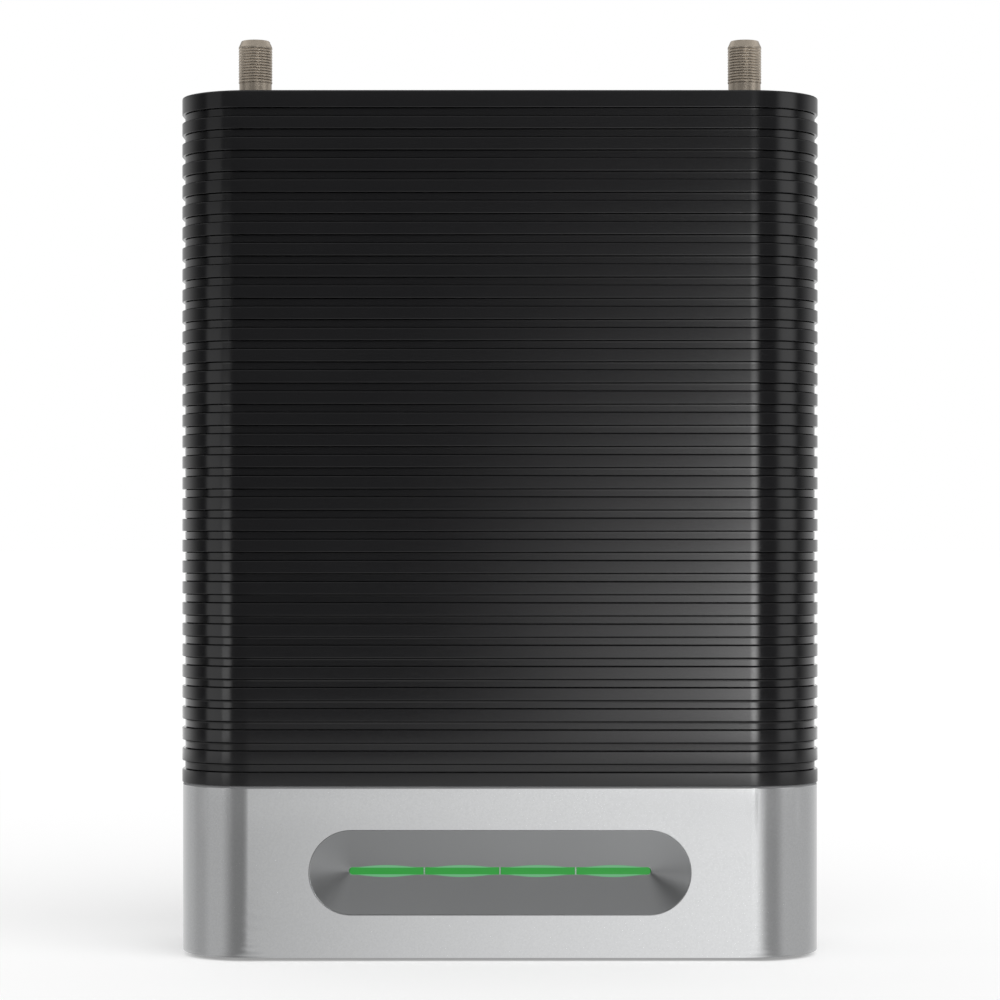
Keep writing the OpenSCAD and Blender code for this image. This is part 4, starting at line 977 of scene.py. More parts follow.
# The plain finishes by the record's slot, with what each gives the eye: its material, its darker and
# its paler colour, and then what surface() takes after them
PLAIN_FINISHES = {
    # Painted shade: a matte grey line where the base meets the ribs, drawn in place of the shade in that
    # joint
    "shaded_joint": ("Bare grey ABS", "868788", "8e8f90", 8, 0.5, (0.5, 0.6), 0.001),
    # Textured ABS, a little greyer and duller than the housings
    "panel_plastic": ("Textured ABS", "242425", "2a2a2b", 20, 0.8, (0.5, 0.6), 0.02),
    "plate_plastic": ("Textured ABS plate", "252526", "2b2b2c", 20, 0.8, (0.5, 0.6), 0.02),
    # Moulded rubber, dull and dark with a dusty bloom
    "foot_rubber": ("Moulded rubber", "1b1b1b", "262625", 4, 0.5, (0.75, 0.9), 0.02),
    # Clear epoxy lenses, faintly yellow
    "led_lens": (
        "Clear epoxy", "dfe5cf", "e9edd9", 2, 0.4, (0.1, 0.16), 0.001, {"Transmission Weight": 0.5}),
    # Grey PVC over ribbon cable, even and slightly glossy
    "ribbon_jacket": ("Grey PVC", "aeaeaa", "b9b9b4", 6, 0.6, (0.45, 0.55), 0.004),
    # Nylon connector housings, cream and slightly waxy
    "socket_plastic": ("Natural nylon", "d8d3c4", "e0dbcd", 4, 0.5, (0.4, 0.5), 0.004),
    # PTFE, white and waxy
    "white_insulator": ("PTFE", "e6e3da", "eeebe3", 3, 0.4, (0.45, 0.55), 0.002),
    # Gold plate over phosphor bronze, bright and warm
    "gold_contact": ("Gold plate", "c9a24a", "d6b25c", 1.5, 0.3, (0.2, 0.28), 0.001, METAL),
    # Bare copper wire, brightened by handling
    "copper_lead": ("Bare copper", "b07a45", "bd8a52", 2, 0.3, (0.28, 0.36), 0.001, METAL),
    # Nickel plate over stamped brass, cooler than the ports
    "nickel_hardware": ("Nickel plate", "b5afa6", "c4beb5", 3, 0.4, (0.2, 0.3), 0.002, METAL),
    # Glossy black nylon of the power jack
    "jack_plastic": ("Black nylon", "141414", "1a1a1a", 4, 0.5, (0.3, 0.38), 0.003),
    # Bright tin plate on formed contacts
    "tinned_contact": ("Tin plate", "c0c0bd", "cfcfcc", 2, 0.3, (0.25, 0.35), 0.001, METAL),
    # Moulding compound round chips: dull dark grey with fine glass filler
    "chip_resin": ("Epoxy moulding compound", "1e1e1f", "262627", 2, 0.25, (0.55, 0.65), 0.006),
    # Fired ceramic resonator blocks, cream and chalky
    "duplexer_ceramic": ("Fired ceramic", "c9c1a8", "d5ceb8", 3, 0.4, (0.6, 0.7), 0.006),
    # Pressed ferrite, grey-black and slightly granular
    "ferrite": ("Ferrite", "3e3e3f", "4c4c4d", 1.5, 0.25, (0.5, 0.6), 0.01),
    # Drawn aluminium cans with a thin sleeve's sheen
    "capacitor_can": ("Drawn aluminium", "8f959c", "a0a5ab", 3, 0.4, (0.3, 0.38), 0.001, METAL),
    # Tinned steel, rolled: soft streaks and a dull shine
    "tinned_shield": ("Tinned steel", "c0c3c6", "d0d2d4", 10, 0.6, (0.28, 0.38), 0.002, METAL),
    # Extruded aluminium with a natural oxide film, pale and dull
    "heat_sink_aluminium": (
        "Extruded aluminium", "8a8c8e", "989a9b", 8, 0.5, (0.38, 0.48), 0.004, METAL),
    # Silicone pads, blue-grey and soft
    "thermal_pad": ("Silicone pad", "7b9cae", "87a7b8", 3, 0.5, (0.7, 0.8), 0.01),
    # Black oxide on steel screws: dark, with a low sheen
    "black_screw": ("Black oxide steel", "2a2a2b", "38383a", 1.2, 0.3, (0.32, 0.42), 0.003, METAL),
    # Zinc plate on steel screws, cool grey
    "steel_screw": ("Zinc-plated steel", "86888a", "989a9c", 1.2, 0.3, (0.28, 0.38), 0.003, METAL),
}


def materials(scene):
    """Every finish by the record's slot, made once."""
    finishes = scene.booster_finish
    if not MADE:
        MADE["black_housing"] = moulded_abs(finishes.body)
        MADE["silver_base"] = metallic_paint(finishes.base)
        MADE["light_guide"] = light_guide(finishes, scene.booster_light)
        MADE["circuit_board"] = circuit_board()
        MADE["silver_bezel"] = dish_paint(finishes, scene.booster_light)
        MADE["nickel_port"] = nickel_plate(finishes.port)
        for slot, (name, dark, light, *rest) in PLAIN_FINISHES.items():
            MADE[slot] = surface(name, linear(dark), linear(light), *rest)
    return MADE


# ---- Stage ----

# What shiny faces see round the object. Azimuths are in degrees from the front, plus to the right:
# name, start, full, last, end, then the level low down, halfway up and at the top
SOFTBOXES = (
    ("Front glow", -4, 13, 13.5, 24.5, 2.25, 0.62, 0.1),
    ("Key strip", 9.5, 14, 14.1, 24.5, 5.6, 2.85, 0.38),
    ("Right fill", 45, 60, 72, 88, 0.97, 1.03, 1.02),
    ("Left strip", -52, -50, -41, -36, 1.65, 0.42, 0.0),
    ("Left fill", -80, -73, -54, -50, 0.8, 0.68, 0.32),
    ("Back", 82, 120, 236, 277, 1.02, 0.72, 0.62),
)
# What the silver base sees in the table round it, in the same way, with the level added
TABLE_LIGHTS = (
    ("Key on the table", -10, 8, 9, 31, 0.5),
    ("Shade front left", -52, -25, -15, 0, -0.24),
    ("Shade right", 12, 38, 42, 62, -0.16),
    ("Shade left", -116, -96, -88, -68, -0.08),
    ("Glow behind", 108, 170, 190, 252, 0.26),
)
TABLE_LEVEL = 0.46
# How high over the floor the lit table lies, in metres
OVER_FLOOR = 0.0003
# The light tent, in metres: its radius, the rings where the table gives way to the softboxes, where
# the even rings begin, how far up they go, and the height of the dome over them
TENT = 0.62
TENT_BLEND = (0.006, 0.01, 0.014, 0.018)
TENT_WALL = 0.022
TENT_WALL_HEIGHT = 0.34
DOME_HEIGHT = 0.6
# The height in metres where the softboxes have their low level, and the step up to each next level
LOW_LEVEL_AT = 0.07
LEVEL_STEP = 0.11
# Where the table in the tent's wall begins to give way to the softboxes, over what height it does,
# and how much higher it begins at the left, between some azimuths
TABLE_END = 0.009
TABLE_BLEND = 0.011
TABLE_END_LEFT = 0.004
LEFT = (-50, -42, -30, -14)
# Between which azimuths the table makes up for the softboxes' glare, by what share of it, by what
# share of the lack of it, at most for how much, and the height in metres where the glare is taken
GLARE_SIDE = (-20, -10, 13, 17)
GLARE_SHARE = 0.13
SHADE_SHARE = 0.1
MOST_GLARE = 2.6
GLARE_HEIGHT = 0.03
# The radii of the rings on the lit table, in metres
TABLE_RADII = (
    0.02, 0.05, 0.07, 0.08, 0.09, 0.1, 0.11, 0.12, 0.14, 0.17, 0.21, 0.26, 0.32, 0.4, 0.46, 0.52, 0.57, TENT)


def rise(value, start, end):
    """A smooth rise from 0 at the start to 1 at the end."""
    x = min(1, max(0, (value - start) / (end - start)))
    return x * x * (3 - 2 * x)


def share_at(azimuth, start, full, last, end):
    """How much of a softbox shows at an azimuth: all from full to last, none before start or past end."""
    for turn in (azimuth, azimuth + 360, azimuth - 360):
        if start < turn < end:
            return rise(turn, start, full) * rise(turn, end, last)
    return 0.0


def wall_level(azimuth, height):
    """The level of the light tent at an azimuth and a height in metres.

    The softboxes are a quarter brighter right over the table. Higher up they give way to a ceiling,
    which is brightest on its slope and dark in its middle.
    """
    up = min(2, max(0, (height - LOW_LEVEL_AT) / LEVEL_STEP))
    level = 0.0
    for _, start, full, last, end, low, middle, top in SOFTBOXES:
        here = low + (middle - low) * up if up < 1 else middle + (top - middle) * (up - 1)
        level += here * share_at(azimuth, start, full, last, end)
    level *= 1.25 - 0.25 * rise(height, 0.025, 0.05)
    ceiling = 0.2 + 0.6 * rise(height, 0.42, 0.64) - 0.5 * rise(height, 0.64, 0.76)
    overhead = rise(height, 0.3, 0.4)
    return level * (1 - overhead) + ceiling * overhead


def table_level(azimuth, radius):
    """The level of the table that the base mirrors, towards an azimuth.

    Far out it makes up for the softboxes over it, which the base's blurred mirror picks up too.
    """
    level = TABLE_LEVEL
    for _, start, full, last, end, added in TABLE_LIGHTS:
        level += added * share_at(azimuth, start, full, last, end)
    glare = min(MOST_GLARE, wall_level(azimuth, GLARE_HEIGHT) - level)
    strength = GLARE_SHARE * share_at(azimuth, *GLARE_SIDE) if glare > 0 else SHADE_SHARE
    return level - strength * glare * rise(radius, 0.4, 0.6)


def mirrored_azimuth(body, stage, x, y):
    """The azimuth in which the body mirrors a point of the table or wall towards the camera."""
    face = -body.depth / 2
    flat = body.width / 2 - body.corner
    near = stage.distance + face
    fan = 1 + max(0, face - y) / near
    edge = math.degrees(math.atan(flat / near))
    if y < 0 and abs(x) < flat * fan:
        return math.degrees(math.atan(x / fan / near))
    side = math.copysign(1, x)
    out, back = side * x - flat, face + body.corner - y
    bearing = math.atan2(max(0, out), back)
    share = min(1, body.corner / max(body.corner, math.hypot(out, back)))
    # Where the corner mirrors the point depends on the angle found, so it is found in rounds
    azimuth = bearing
    for _ in range(8):
        azimuth = bearing + math.asin(share * math.sin(min(math.pi, max(0, azimuth)) / 2))
    return side * max(edge, math.degrees(azimuth))


def surround(name, scene, profile, steps):
    """A stage mesh that only shiny surfaces see: the table low down, and the softboxes above it.

    The profile gives the radius and height of its rings, and steps the points in each.
    """
    rings = []
    levels = []
    for r, z in profile:
        ring = []
        for i in range(steps):
            azimuth = 360 * i / steps
            x, y = r * math.sin(math.radians(azimuth)), -r * math.cos(math.radians(azimuth))
            ring.append((x, y, z))
            blend_from = TABLE_END + TABLE_END_LEFT * share_at(azimuth, *LEFT)
            wall = rise(z, blend_from, blend_from + TABLE_BLEND)
            mirrored = mirrored_azimuth(scene.booster_body, scene.booster_stage, x, y)
            levels.append((1 - wall) * table_level(mirrored, r) + wall * wall_level(azimuth, z))
        rings.append(ring)
    mesh = ring_mesh(name, rings, "open")
    mesh.attributes.new("level", "FLOAT", "POINT").data.foreach_set("value", levels)
    stand = place(name, mesh)
    for ray in ("camera", "diffuse", "shadow", "transmission", "volume_scatter"):
        setattr(stand, "visible_" + ray, False)
    material = bpy.data.materials.new(name)
    tree = bare_tree(material)
    level = add(tree, "ShaderNodeAttribute", attribute_name="level").outputs["Fac"]
    glow = add(tree, "ShaderNodeEmission", {"Color": (1, 1, 1), "Strength": level})
    add(tree, "ShaderNodeOutputMaterial", {"Surface": glow})
    material.cycles.emission_sampling = "NONE"
    mesh.materials.append(material)


def seen_directly(tree):
    """1 for what the camera, mirrors and glass see, and 0 for the light that falls on things."""
    path = add(tree, "ShaderNodeLightPath").outputs
    seen = path["Is Camera Ray"]
    for kind in ("Is Glossy Ray", "Is Transmission Ray"):
        seen = add(tree, MATH, (seen, path[kind]), operation="MAXIMUM")
    return seen


def make_camera(scene, stage):
    """The camera, level and in front of the object."""
    view = bpy.data.cameras.new("Camera")
    view.lens = stage.lens
    view.sensor_width = 36
    view.shift_y = stage.shift
    view.clip_start = 0.01
    view.clip_end = 100
    camera = place("Camera", view)
    camera.location = (0, -stage.distance, stage.eye)
    camera.rotation_euler = (math.radians(90), 0, 0)
    scene.camera = camera


def make_room(scene, stage):
    """Even light from all round, plain white to the eye."""
    world = bpy.data.worlds.new("Room")
    tree = bare_tree(world)
    strength = add(tree, MAP_RANGE, {"Value": seen_directly(tree), "To Min": stage.room, "To Max": 1.0})
    room = add(tree, "ShaderNodeBackground", {"Color": (1, 1, 1), "Strength": strength})
    add(tree, "ShaderNodeOutputWorld", {"Surface": room})
    scene.world = world


def make_floor():
    """A wide white table that keeps the object's shadow."""
    half = 30
    mesh = bpy.data.meshes.new("Floor")
    mesh.from_pydata(
        [(-half, -half, 0), (half, -half, 0), (half, half, 0), (-half, half, 0)], [], [(0, 1, 2, 3)])
    material = bpy.data.materials.new("White table")
    tree = bare_tree(material)
    paint = add(tree, "ShaderNodeBsdfDiffuse", {"Color": (0.8, 0.8, 0.8)})
    lift = add(tree, MATH, (seen_directly(tree), 0.3), operation="MULTIPLY")
    glow = add(tree, "ShaderNodeEmission", {"Color": (1, 1, 1), "Strength": lift})
    both = add(tree, "ShaderNodeAddShader", (paint, glow))
    add(tree, "ShaderNodeOutputMaterial", {"Surface": both})
    material.cycles.emission_sampling = "NONE"
    mesh.materials.append(material)
    place("Floor", mesh)


def make_lamp(stage):
    """One large soft lamp, which mirrors don't show."""
    lamp = bpy.data.lights.new("Soft lamp", "SUN")
    lamp.energy = stage.sun
    lamp.angle = math.radians(70)
    above = place("Soft lamp", lamp)
    above.rotation_euler = (math.radians(48), 0, math.radians(25))
    above.visible_glossy = False


class BOOSTER_OT_stage(bpy.types.Operator):
    """Sets up the camera, the white floor and room, the soft lamp and what shiny faces mirror"""

    bl_idname = "booster.stage"
    bl_label = "Stage"

    def execute(self, context):
        scene = context.scene
        stage = scene.booster_stage
        make_camera(scene, stage)
        scene.view_settings.view_transform = "Standard"
        make_room(scene, stage)
        make_floor()
        make_lamp(stage)
        profile = [(TENT, z) for z in (OVER_FLOOR, *TENT_BLEND)]
        profile += [(TENT, TENT_WALL + TENT_WALL_HEIGHT * i / 17) for i in range(18)]
        for i in range(1, 13):
            angle = math.pi / 2 * i / 12
            profile.append((
                max(MM, TENT * math.cos(angle)),
                TENT_WALL + TENT_WALL_HEIGHT + DOME_HEIGHT * math.sin(angle)))
        surround("Light tent", scene, profile, 360)
        surround("Lit table", scene, [(r, OVER_FLOOR) for r in TABLE_RADII], 720)
        return {"FINISHED"}


# ---- Pieces ----

# Where the case screws stand, sideways and up
CASE_SCREWS = in_mm(((-50, 229.3), (50, 229.3), (-60, 56), (60, 56)))
# From the middle to the seats of their heads, and to the ends of the posts that they go into
SCREW_SEAT = 27 * MM
POST_END = 24 * MM
# The radii of a screw's hole and of its post
SCREW_HOLE_R = 1.7 * MM
POST_R = 4.55 * MM
# From the middle to the plate screws, sideways and to the front, and the height of their seats
PLATE_SCREW_X = 73.8 * MM
PLATE_SCREW_Y = 17 * MM
PLATE_SCREW_Z = 3.2 * MM
# Steps round a corner of the base
CORNER_STEPS = 40


class BOOSTER_OT_front_housing(bpy.types.Operator):
    """Builds the front housing: a ribbed wall with its half of the flat top"""

    bl_idname = "booster.front_housing"
    bl_label = "Front housing"

    def execute(self, context):
        scene = context.scene
        body = scene.booster_body
        material = materials(scene)["black_housing"]
        wall = ribbed_wall("front_wall", scene, half_path(body, body.joint), 0.0, material)
        roof = roof_mesh(body, body.joint, False)
        shell = place("front_shell", join("front_shell", (take(wall), roof)))
        finish(shell, 40, "black_housing", "front_housing")
        return {"FINISHED"}


class BOOSTER_OT_rear_housing(bpy.types.Operator):
    """Builds the rear housing, with its plain field, vents, keyholes and screw seats"""

    bl_idname = "booster.rear_housing"
    bl_label = "Rear housing"

    def execute(self, context):
        scene = context.scene
        body = scene.booster_body
        back = scene.booster_back
        plain = scene.booster_grooves.plain
        material = materials(scene)["black_housing"]
        path = turned(half_path(body, -body.joint, plain))
        wall = ribbed_wall("rear_wall", scene, path, plain, material)

        def vent(grow):
            run = (back.vent_h - back.vent_w) / 2
            left = -(back.columns - 1) / 2 * back.pitch
            low = back.middle - back.row / 2
            return [(left + z, low + x) for x, z in reversed(stadium(run, back.vent_w / 2 + grow, 12))]

        def keyhole(grow):
            return keyhole_outline(back, -back.keyhole_x, back.keyhole_z, grow)

        vents = place("vents", through_back(vent, body, back.edge))
        repeat(vents, back.columns, 2, (back.pitch, 0, 0), (0, 0, back.row))
        keyholes = place("keyholes", through_back(keyhole, body, back.edge))
        repeat(keyholes, 2, 2, (2 * back.keyhole_x, 0, 0), (0, 0, back.keyhole_dz))
        cutters = [take(vents), take(keyholes)]
        rooms = []
        inside = body.depth / 2 - body.skin
        post = (
            (back.seat_r, inside), (back.seat_r, SCREW_SEAT), (SCREW_HOLE_R, SCREW_SEAT),
            (SCREW_HOLE_R, POST_END), (POST_R, POST_END), (POST_R, inside))
        for x, z in CASE_SCREWS:
            def seat(grow):
                return [(x + a, z + b) for a, b in stadium(0, back.seat_r + grow, 24)]

            cutters.append(through_back(seat, body, back.edge))
            rooms.append(lathe("post", post, (x, 0, z), 40, "Y"))
        cut(wall, outward(join("openings", cutters)))
        for side in (-1, 1):
            for z in (back.keyhole_z, back.keyhole_z + back.keyhole_dz):
                rooms.append(head_room(side * back.keyhole_x, z, body, back.slot))
        roof = roof_mesh(body, -body.joint, True)
        shell = place("rear_shell", join("rear_shell", (take(wall), roof, *rooms)))
        finish(shell, 40, "black_housing", "rear_housing")
        return {"FINISHED"}


def base_case(body, base):
    """The base's wall, deck and sloping rim, without its mouth for the dish."""
    w, d, r = body.width / 2 - base.inset, body.depth / 2 - base.inset, body.corner - base.inset
    run = w - r

    def ring(inset, height):
        turn = r - inset
        return [
            (x + math.copysign(base.side_reach * max(0, abs(x) - run) / turn, x), y, height)
            for x, y in rounded_rectangle(w - inset, d - inset, turn, CORNER_STEPS)]

    def window(height):
        half_w, half_d = base.window_w / 2, base.window_d / 2
        return [
            (min(half_w, max(-half_w, x)), min(half_d, max(-half_d, y)), height)
            for x, y in rounded_rectangle(w, d, r, CORNER_STEPS)]

    rings = [ring(base.wall, base.low)]
    edge = base.foot_edge
    for i in range(4, -1, -1):
        angle = math.radians(90 * i / 4)
        rings.append(ring(edge * (1 - math.cos(angle)), base.low + edge - edge * math.sin(angle)))
    rim_top = base.high + base.rim
    under = base.high - base.deck
    rings += [
        ring(0, base.high - 0.04 * MM), ring(0.02 * MM, base.high), ring(base.rim_inset, rim_top),
        ring(base.rim_back, rim_top), ring(base.rim_back, base.high),
        window(base.high), window(under), ring(base.wall, under)]
    return place("base_case", loft("base_case", rings))


def foot_outline(base):
    """A foot's outline as radius and height, from its hollow middle outwards and up."""
    r = base.foot_r
    return (
        (0, 0.25 * MM), (r - 1.6 * MM, 0.25 * MM), (r - 1.3 * MM, 0), (r - 0.4 * MM, 0),
        (r - 0.1 * MM, 0.12 * MM), (r, 0.4 * MM), (r, base.foot_top), (0, base.foot_top))


class BOOSTER_OT_base(bpy.types.Operator):
    """Builds the silver base with its bottom plate and feet"""

    bl_idname = "booster.base"
    bl_label = "Base"

    def execute(self, context):
        scene = context.scene
        base = scene.booster_base
        dish = scene.booster_light
        shell = base_case(scene.booster_body, base)
        face = base.inset - scene.booster_body.depth / 2
        run = (dish.width - dish.height) / 2
        edge = 0.04 * MM
        hole = []
        for y, grow in ((face - MM, MM), (face, edge), (face + edge, 0), (face + base.wall + MM, 0)):
            mouth = stadium(run, dish.height / 2 + dish.gap + grow)
            hole.append(upright(mouth, y, dish.middle))
        cut(shell, loft("mouth", hole, "flat"))
        finish(shell, 30, "silver_base", "base_shell")
        # The rim's faces above the deck take the matte grey of painted shade, for the joint under the ribs
        shell.data.materials.append(materials(scene)["shaded_joint"])
        for polygon in shell.data.polygons:
            if polygon.center.z > base.high + 0.01 * MM:
                polygon.material_index = 1

        finish_edged_copy("base_plate", "bottom_plate", 0.25, "plate_plastic")
        for end, y in (("front", -base.foot_y), ("rear", base.foot_y)):
            for side, x in (("left", -base.foot_x), ("right", base.foot_x)):
                name = f"pad_{end}_{side}"
                pad = place(name, lathe(name, foot_outline(base), (x, y, 0), 48))
                finish(pad, 40, "foot_rubber", f"foot_{end}_{side}")
        return {"FINISHED"}


def bar_outline(x0, x1, half_h, left_r, right_r, shrink):
    """A segment's outline in x and z, with its own end radii, set in by an amount."""
    points = []
    for x, r, side, up, start in (
            (x1, right_r, 1, 1, 0), (x0, left_r, -1, 1, 90), (x0, left_r, -1, -1, 180),
            (x1, right_r, 1, -1, 270)):
        r = max(r - shrink, 0.02 * MM)
        points += arc(x - side * (shrink + r), up * (half_h - shrink - r), r, start, 90, 8)
    return points


class BOOSTER_OT_light(bpy.types.Operator):
    """Builds the dish in the base and the four segments of its light bar"""

    bl_idname = "booster.light"
    bl_label = "Light bar"

    def execute(self, context):
        scene = context.scene
        light = scene.booster_light
        front = scene.booster_base.inset - scene.booster_body.depth / 2
        floor = front + light.depth
        back = floor + 1.5 * MM
        mouth = light.height / 2
        slot = light.bar_h / 2
        rim = light.rim
        slope = (mouth - slot) / light.depth
        # The flange behind the base's wall reaches out this far, between these two planes
        flange = mouth + 4 * MM
        flange_front = front + 2.2 * MM
        flange_back = front + 3.7 * MM
        outline = [(light.width / 2 - mouth, radius, y) for radius, y in (
            (mouth, back), (mouth, flange_back), (flange, flange_back), (flange, flange_front),
            (mouth, flange_front), (mouth, front + rim), (mouth - 0.3 * rim, front + 0.3 * rim),
            (mouth - rim, front), (mouth - rim - 0.1 * MM, front),
            (mouth - rim - 0.35 * MM, front + 0.1 * MM), (mouth - slope * 0.6 * MM, front + 0.6 * MM),
            (mouth - slope * 2.5 * MM, front + 2.5 * MM), (slot + slope * 0.12 * MM, floor - 0.12 * MM))]
        run = light.bar_w / 2 - slot
        slot_r = slot + light.bar_gap
        outline += [(run + 0.15 * MM, slot_r, floor), (run, slot_r, back)]
        meshes = [loft("dish", [upright(stadium(side, r), y, light.middle) for side, r, y in outline])]
        pitch = (light.bar_w + light.divider) / 4
        half = light.divider / 2 - light.bar_gap
        for i in (-1, 0, 1):
            x = i * pitch
            section = ((x - half, -slot_r), (x + half, -slot_r), (x + half, slot_r), (x - half, slot_r))
            meshes.append(loft("divider", [upright(section, y, light.middle) for y in (floor, back)], "flat"))
        dish = place("light_dish", join("light_dish", meshes))
        finish(dish, 28, "silver_bezel", "light_bezel")

        width = pitch - light.divider
        face = floor - 0.03 * MM
        steps = ((back, 0), (floor + 0.12 * MM, 0), (floor + 0.04 * MM, 0.04 * MM), (floor, 0.12 * MM))
        for i in range(4):
            middle = (i - 1.5) * pitch
            ends = (slot if i == 0 else 0.1 * MM, slot if i == 3 else 0.1 * MM)
            rings = []
            for y, shrink in steps:
                bar = bar_outline(middle - width / 2, middle + width / 2, slot, *ends, shrink)
                rings.append(upright(bar, y, light.middle))
            # Pale glowing shoulders over each lamp, reaching into the dish: painted light for the bar's glow
            # spilling onto it
            lens = []
            for step in range(25):
                u = step / 24
                reach = slot + light.spill_shoulder * max(0.02, math.sin(math.pi * u) ** 1.4)
                x = middle + (u - 0.5) * (width - 1.6 * slot)
                lip = face - (reach - slot) / slope
                section = ((-reach, lip), (-slot, face), (slot, face), (reach, lip))
                section += tuple((z, y + 0.09 * MM) for z, y in reversed(section))
                lens.append([(x, y, light.middle + z) for z, y in section])
            name = f"bar_{i + 1}"
            body = loft("bar_body", rings, "flat")
            segment = place(name, join(name, (body, loft("shoulders", lens, "flat"))))
            finish(segment, 40, "light_guide", f"light_segment_{i + 1}")
        return {"FINISHED"}


# Heights on a port
TAIL_LOW = 226.15 * MM
HEX_LOW = 238.75 * MM
HEX_HIGH = 241.15 * MM
THREAD_LOW = 244.85 * MM
TIP_HIGH = 256.95 * MM
INSULATOR_HIGH = 256.35 * MM
# What part of the thread's pitch one flank takes
FLANK_SHARE = 0.3


def hexagon_rings(across, low, high, steps=72):
    """Rings of a hexagon whose corners are turned off towards its top."""
    rings = []
    for z, limit in (
            (low, across), (high - 0.55 * MM, across), (high - 0.3 * MM, across * 0.545),
            (high - 0.12 * MM, across * 0.515), (high, across * 0.485)):
        ring = []
        for i in range(steps):
            angle = math.tau * i / steps
            flat = (angle + math.pi / 6) % (math.pi / 3) - math.pi / 6
            radius = min(across / 2 / math.cos(flat), limit)
            ring.append((radius * math.cos(angle), radius * math.sin(angle), z))
        rings.append(ring)
    return rings


def port_mesh(ports):
    """A threaded port round the axis: tail, hexagon, neck, rings of thread and chamfered tip."""
    bore = ports.bore_r
    crest = ports.thread_r
    pitch = ports.thread_pitch
    flank = FLANK_SHARE * pitch
    low = THREAD_LOW
    high = TIP_HIGH
    tip_low = high - ports.tip
    thread = run_tree(place("thread", path_mesh("thread", circle(crest, 96), True)), "Grooved wall", {
        "Wall": crest - bore,
        "Bottom": low,
        "Top": tip_low,
        "Lip inset": ports.thread_depth,
        "Lip height": flank * 0.7,
        "First groove": low + 0.7 * pitch,
        "Pitch": pitch,
        "Groove height": 2 * flank + 0.02 * MM,
        "Groove depth": ports.thread_depth,
        "Flank": flank,
        "Grooves": ports.rings,
        "Outer edge": 0.07 * MM,
        "Root edge": 0.01 * MM,
        "Top edge": 0.01 * MM,
        "Plain plane": 1.0,
        "Seam plane": 1.0,
    })
    outward(thread.data)
    tip = (
        (bore, tip_low), (crest, tip_low), (crest - 0.04 * MM, tip_low + 0.1 * MM),
        (ports.tip_r + 0.06 * MM, high - 0.12 * MM), (ports.tip_r - 0.04 * MM, high - 0.02 * MM),
        (ports.tip_r - 0.12 * MM, high), (bore + 0.12 * MM, high), (bore, high - 0.15 * MM))
    neck = (
        (bore, HEX_HIGH), (ports.neck_r, HEX_HIGH), (ports.neck_r, low - 0.08 * MM),
        (ports.neck_r - 0.08 * MM, low), (bore, low))
    tail = (
        (bore, TAIL_LOW), (crest - 0.3 * MM, TAIL_LOW), (crest, TAIL_LOW + 0.3 * MM),
        (crest, HEX_LOW), (bore, HEX_LOW))
    nut = hexagon_rings(ports.hexagon, HEX_LOW, HEX_HIGH)
    nut += [lifted(circle(bore, 72), z) for z in (HEX_HIGH, HEX_LOW)]
    tip, neck, tail = (lathe("turning", outline, (0, 0, 0), 96) for outline in (tip, neck, tail))
    return join("port", (take(thread), tip, neck, loft("nut", nut), tail))


class BOOSTER_OT_ports(bpy.types.Operator):
    """Builds the two threaded ports, their insulators and their washers"""

    bl_idname = "booster.ports"
    bl_label = "Ports"

    def execute(self, context):
        ports = context.scene.booster_ports
        mesh = port_mesh(ports)
        high = INSULATOR_HIGH
        insulator = (
            (0.6 * MM, TAIL_LOW), (3.2 * MM, TAIL_LOW), (3.2 * MM, high - 0.1 * MM), (3.1 * MM, high),
            (1.3 * MM, high), (0.9 * MM, high - 0.3 * MM), (0.6 * MM, high - 0.6 * MM))
        for name, x in (("outside", -ports.side), ("inside", ports.side)):
            port = place(f"{name}_port", moved(mesh, 0, (x, 0, 0)))
            finish(port, 35, "nickel_port", f"{name}_port_body")
            plug = place(f"{name}_plug", lathe("plug", insulator, (x, 0, 0)))
            finish(plug, 35, "white_insulator", f"{name}_port_insulator")
        finish_edged_copy("port_washers", "washers", 0.12, "nickel_hardware")
        return {"FINISHED"}


class BOOSTER_OT_panel(bpy.types.Operator):
    """Finishes the panel in the top and the power jack in its middle"""

    bl_idname = "booster.panel"
    bl_label = "Port panel"

    def execute(self, context):
        finish_edged_copy("port_panel", "top_panel", 0.3, "panel_plastic")
        finish_edged_copy("dc_jack_body", "power_jack", 0.25, "jack_plastic")
        finish_edged_copy("dc_jack_pin", "power_pin", 0.12, "tinned_contact")
        return {"FINISHED"}


class BOOSTER_OT_screws(bpy.types.Operator):
    """Builds the pan-head screws in the back and under the base"""

    bl_idname = "booster.screws"
    bl_label = "Screws"

    def execute(self, context):
        material = materials(context.scene)["black_screw"]
        screw = pan_head()
        rows = []
        for x, z in (CASE_SCREWS[0], CASE_SCREWS[2]):
            row = place("row", moved(screw, -90, (x, SCREW_SEAT, z)))
            repeat(row, 2, 1, (-2 * x, 0, 0), (0, 0, 0), material)
            rows.append(take(row))
        finish(place("back_screws", join("back_screws", rows)), 35, "black_screw", "case_screws")
        first = (-PLATE_SCREW_X, -PLATE_SCREW_Y, PLATE_SCREW_Z)
        under = place("under_screws", moved(screw, 180, first))
        repeat(under, 2, 2, (2 * PLATE_SCREW_X, 0, 0), (0, 2 * PLATE_SCREW_Y, 0), material)
        finish(under, 35, "black_screw", "plate_screws")
        return {"FINISHED"}


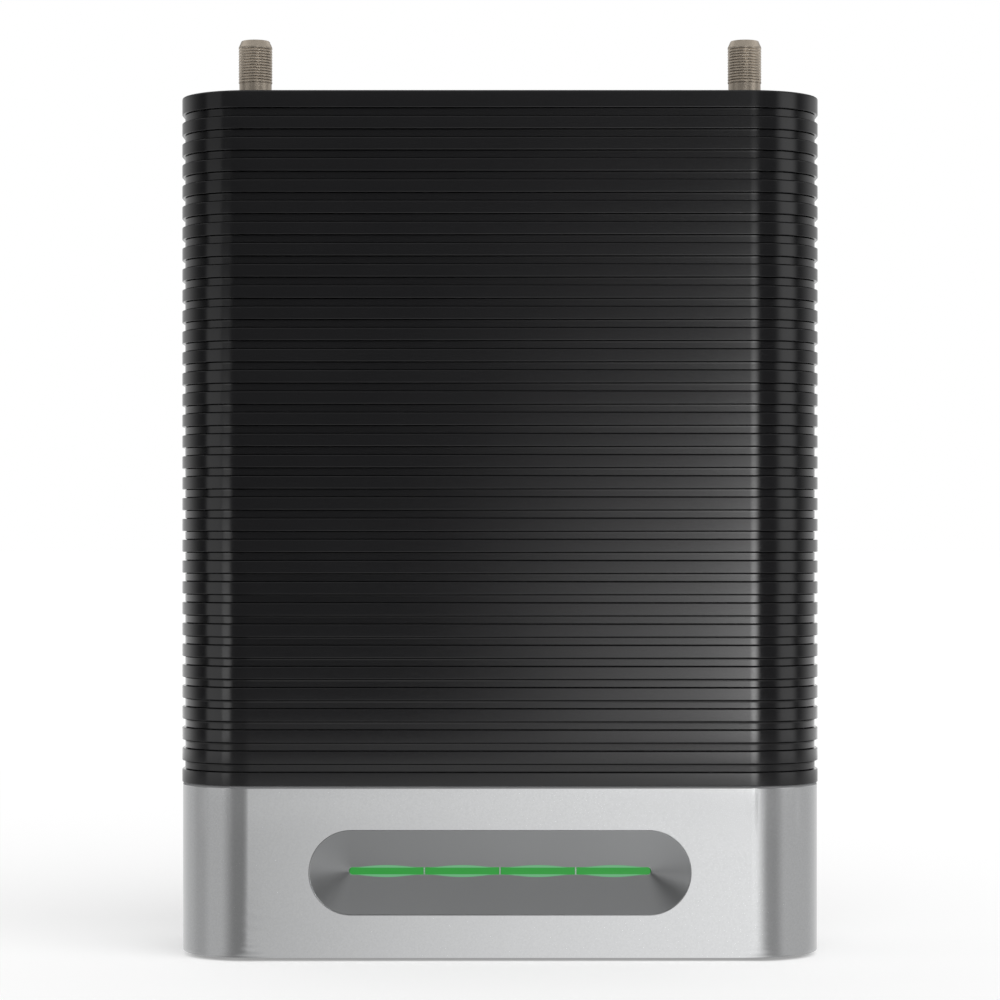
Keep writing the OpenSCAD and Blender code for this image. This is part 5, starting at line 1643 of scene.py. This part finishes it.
class BOOSTER_OT_inside(bpy.types.Operator):
    """Gives every CAD node its finish, by its slot in the record"""

    bl_idname = "booster.inside"
    bl_label = "Inner parts"

    def execute(self, context):
        made = materials(context.scene)
        slots = {part["node"]: part["material_slot"] for part in frame["record"]["subparts"]}
        for name, node in frame["nodes"].items():
            if not node.material_slots:
                node.data.materials.append(made[slots[name]])
            for holder in node.material_slots:
                holder.material = made[slots[name]]
        return {"FINISHED"}


# In the order in which they run
OPERATORS = (
    BOOSTER_OT_stage,
    BOOSTER_OT_front_housing,
    BOOSTER_OT_rear_housing,
    BOOSTER_OT_panel,
    BOOSTER_OT_base,
    BOOSTER_OT_light,
    BOOSTER_OT_ports,
    BOOSTER_OT_screws,
    BOOSTER_OT_inside,
)


class BOOSTER_PT_panel(bpy.types.Panel):
    """Lists the pieces and their sizes"""

    bl_idname = "BOOSTER_PT_panel"
    bl_label = "Signal booster"
    bl_space_type = "VIEW_3D"
    bl_region_type = "UI"
    bl_category = "Booster"

    def draw(self, context):
        for operator in OPERATORS:
            self.layout.operator(operator.bl_idname)
        for name, group in GROUPS.items():
            box = self.layout.box()
            box.label(text=group.__doc__)
            for key in group.__annotations__:
                box.prop(getattr(context.scene, name), key)


CLASSES = (*GROUPS.values(), *OPERATORS, BOOSTER_PT_panel)


def register():
    """Makes the settings, the operators and the panel known."""
    for kind in CLASSES:
        bpy.utils.register_class(kind)
    for name, group in GROUPS.items():
        setattr(bpy.types.Scene, name, bpy.props.PointerProperty(type=group))


def unregister():
    """Takes them away again."""
    for name in GROUPS:
        delattr(bpy.types.Scene, name)
    for kind in reversed(CLASSES):
        bpy.utils.unregister_class(kind)


def main():
    register()
    bpy.ops.booster.stage()
    bpy.ops.booster.front_housing()
    bpy.ops.booster.rear_housing()
    bpy.ops.booster.panel()
    bpy.ops.booster.base()
    bpy.ops.booster.light()
    bpy.ops.booster.ports()
    bpy.ops.booster.screws()
    bpy.ops.booster.inside()


if __name__ == "__main__":
    main()
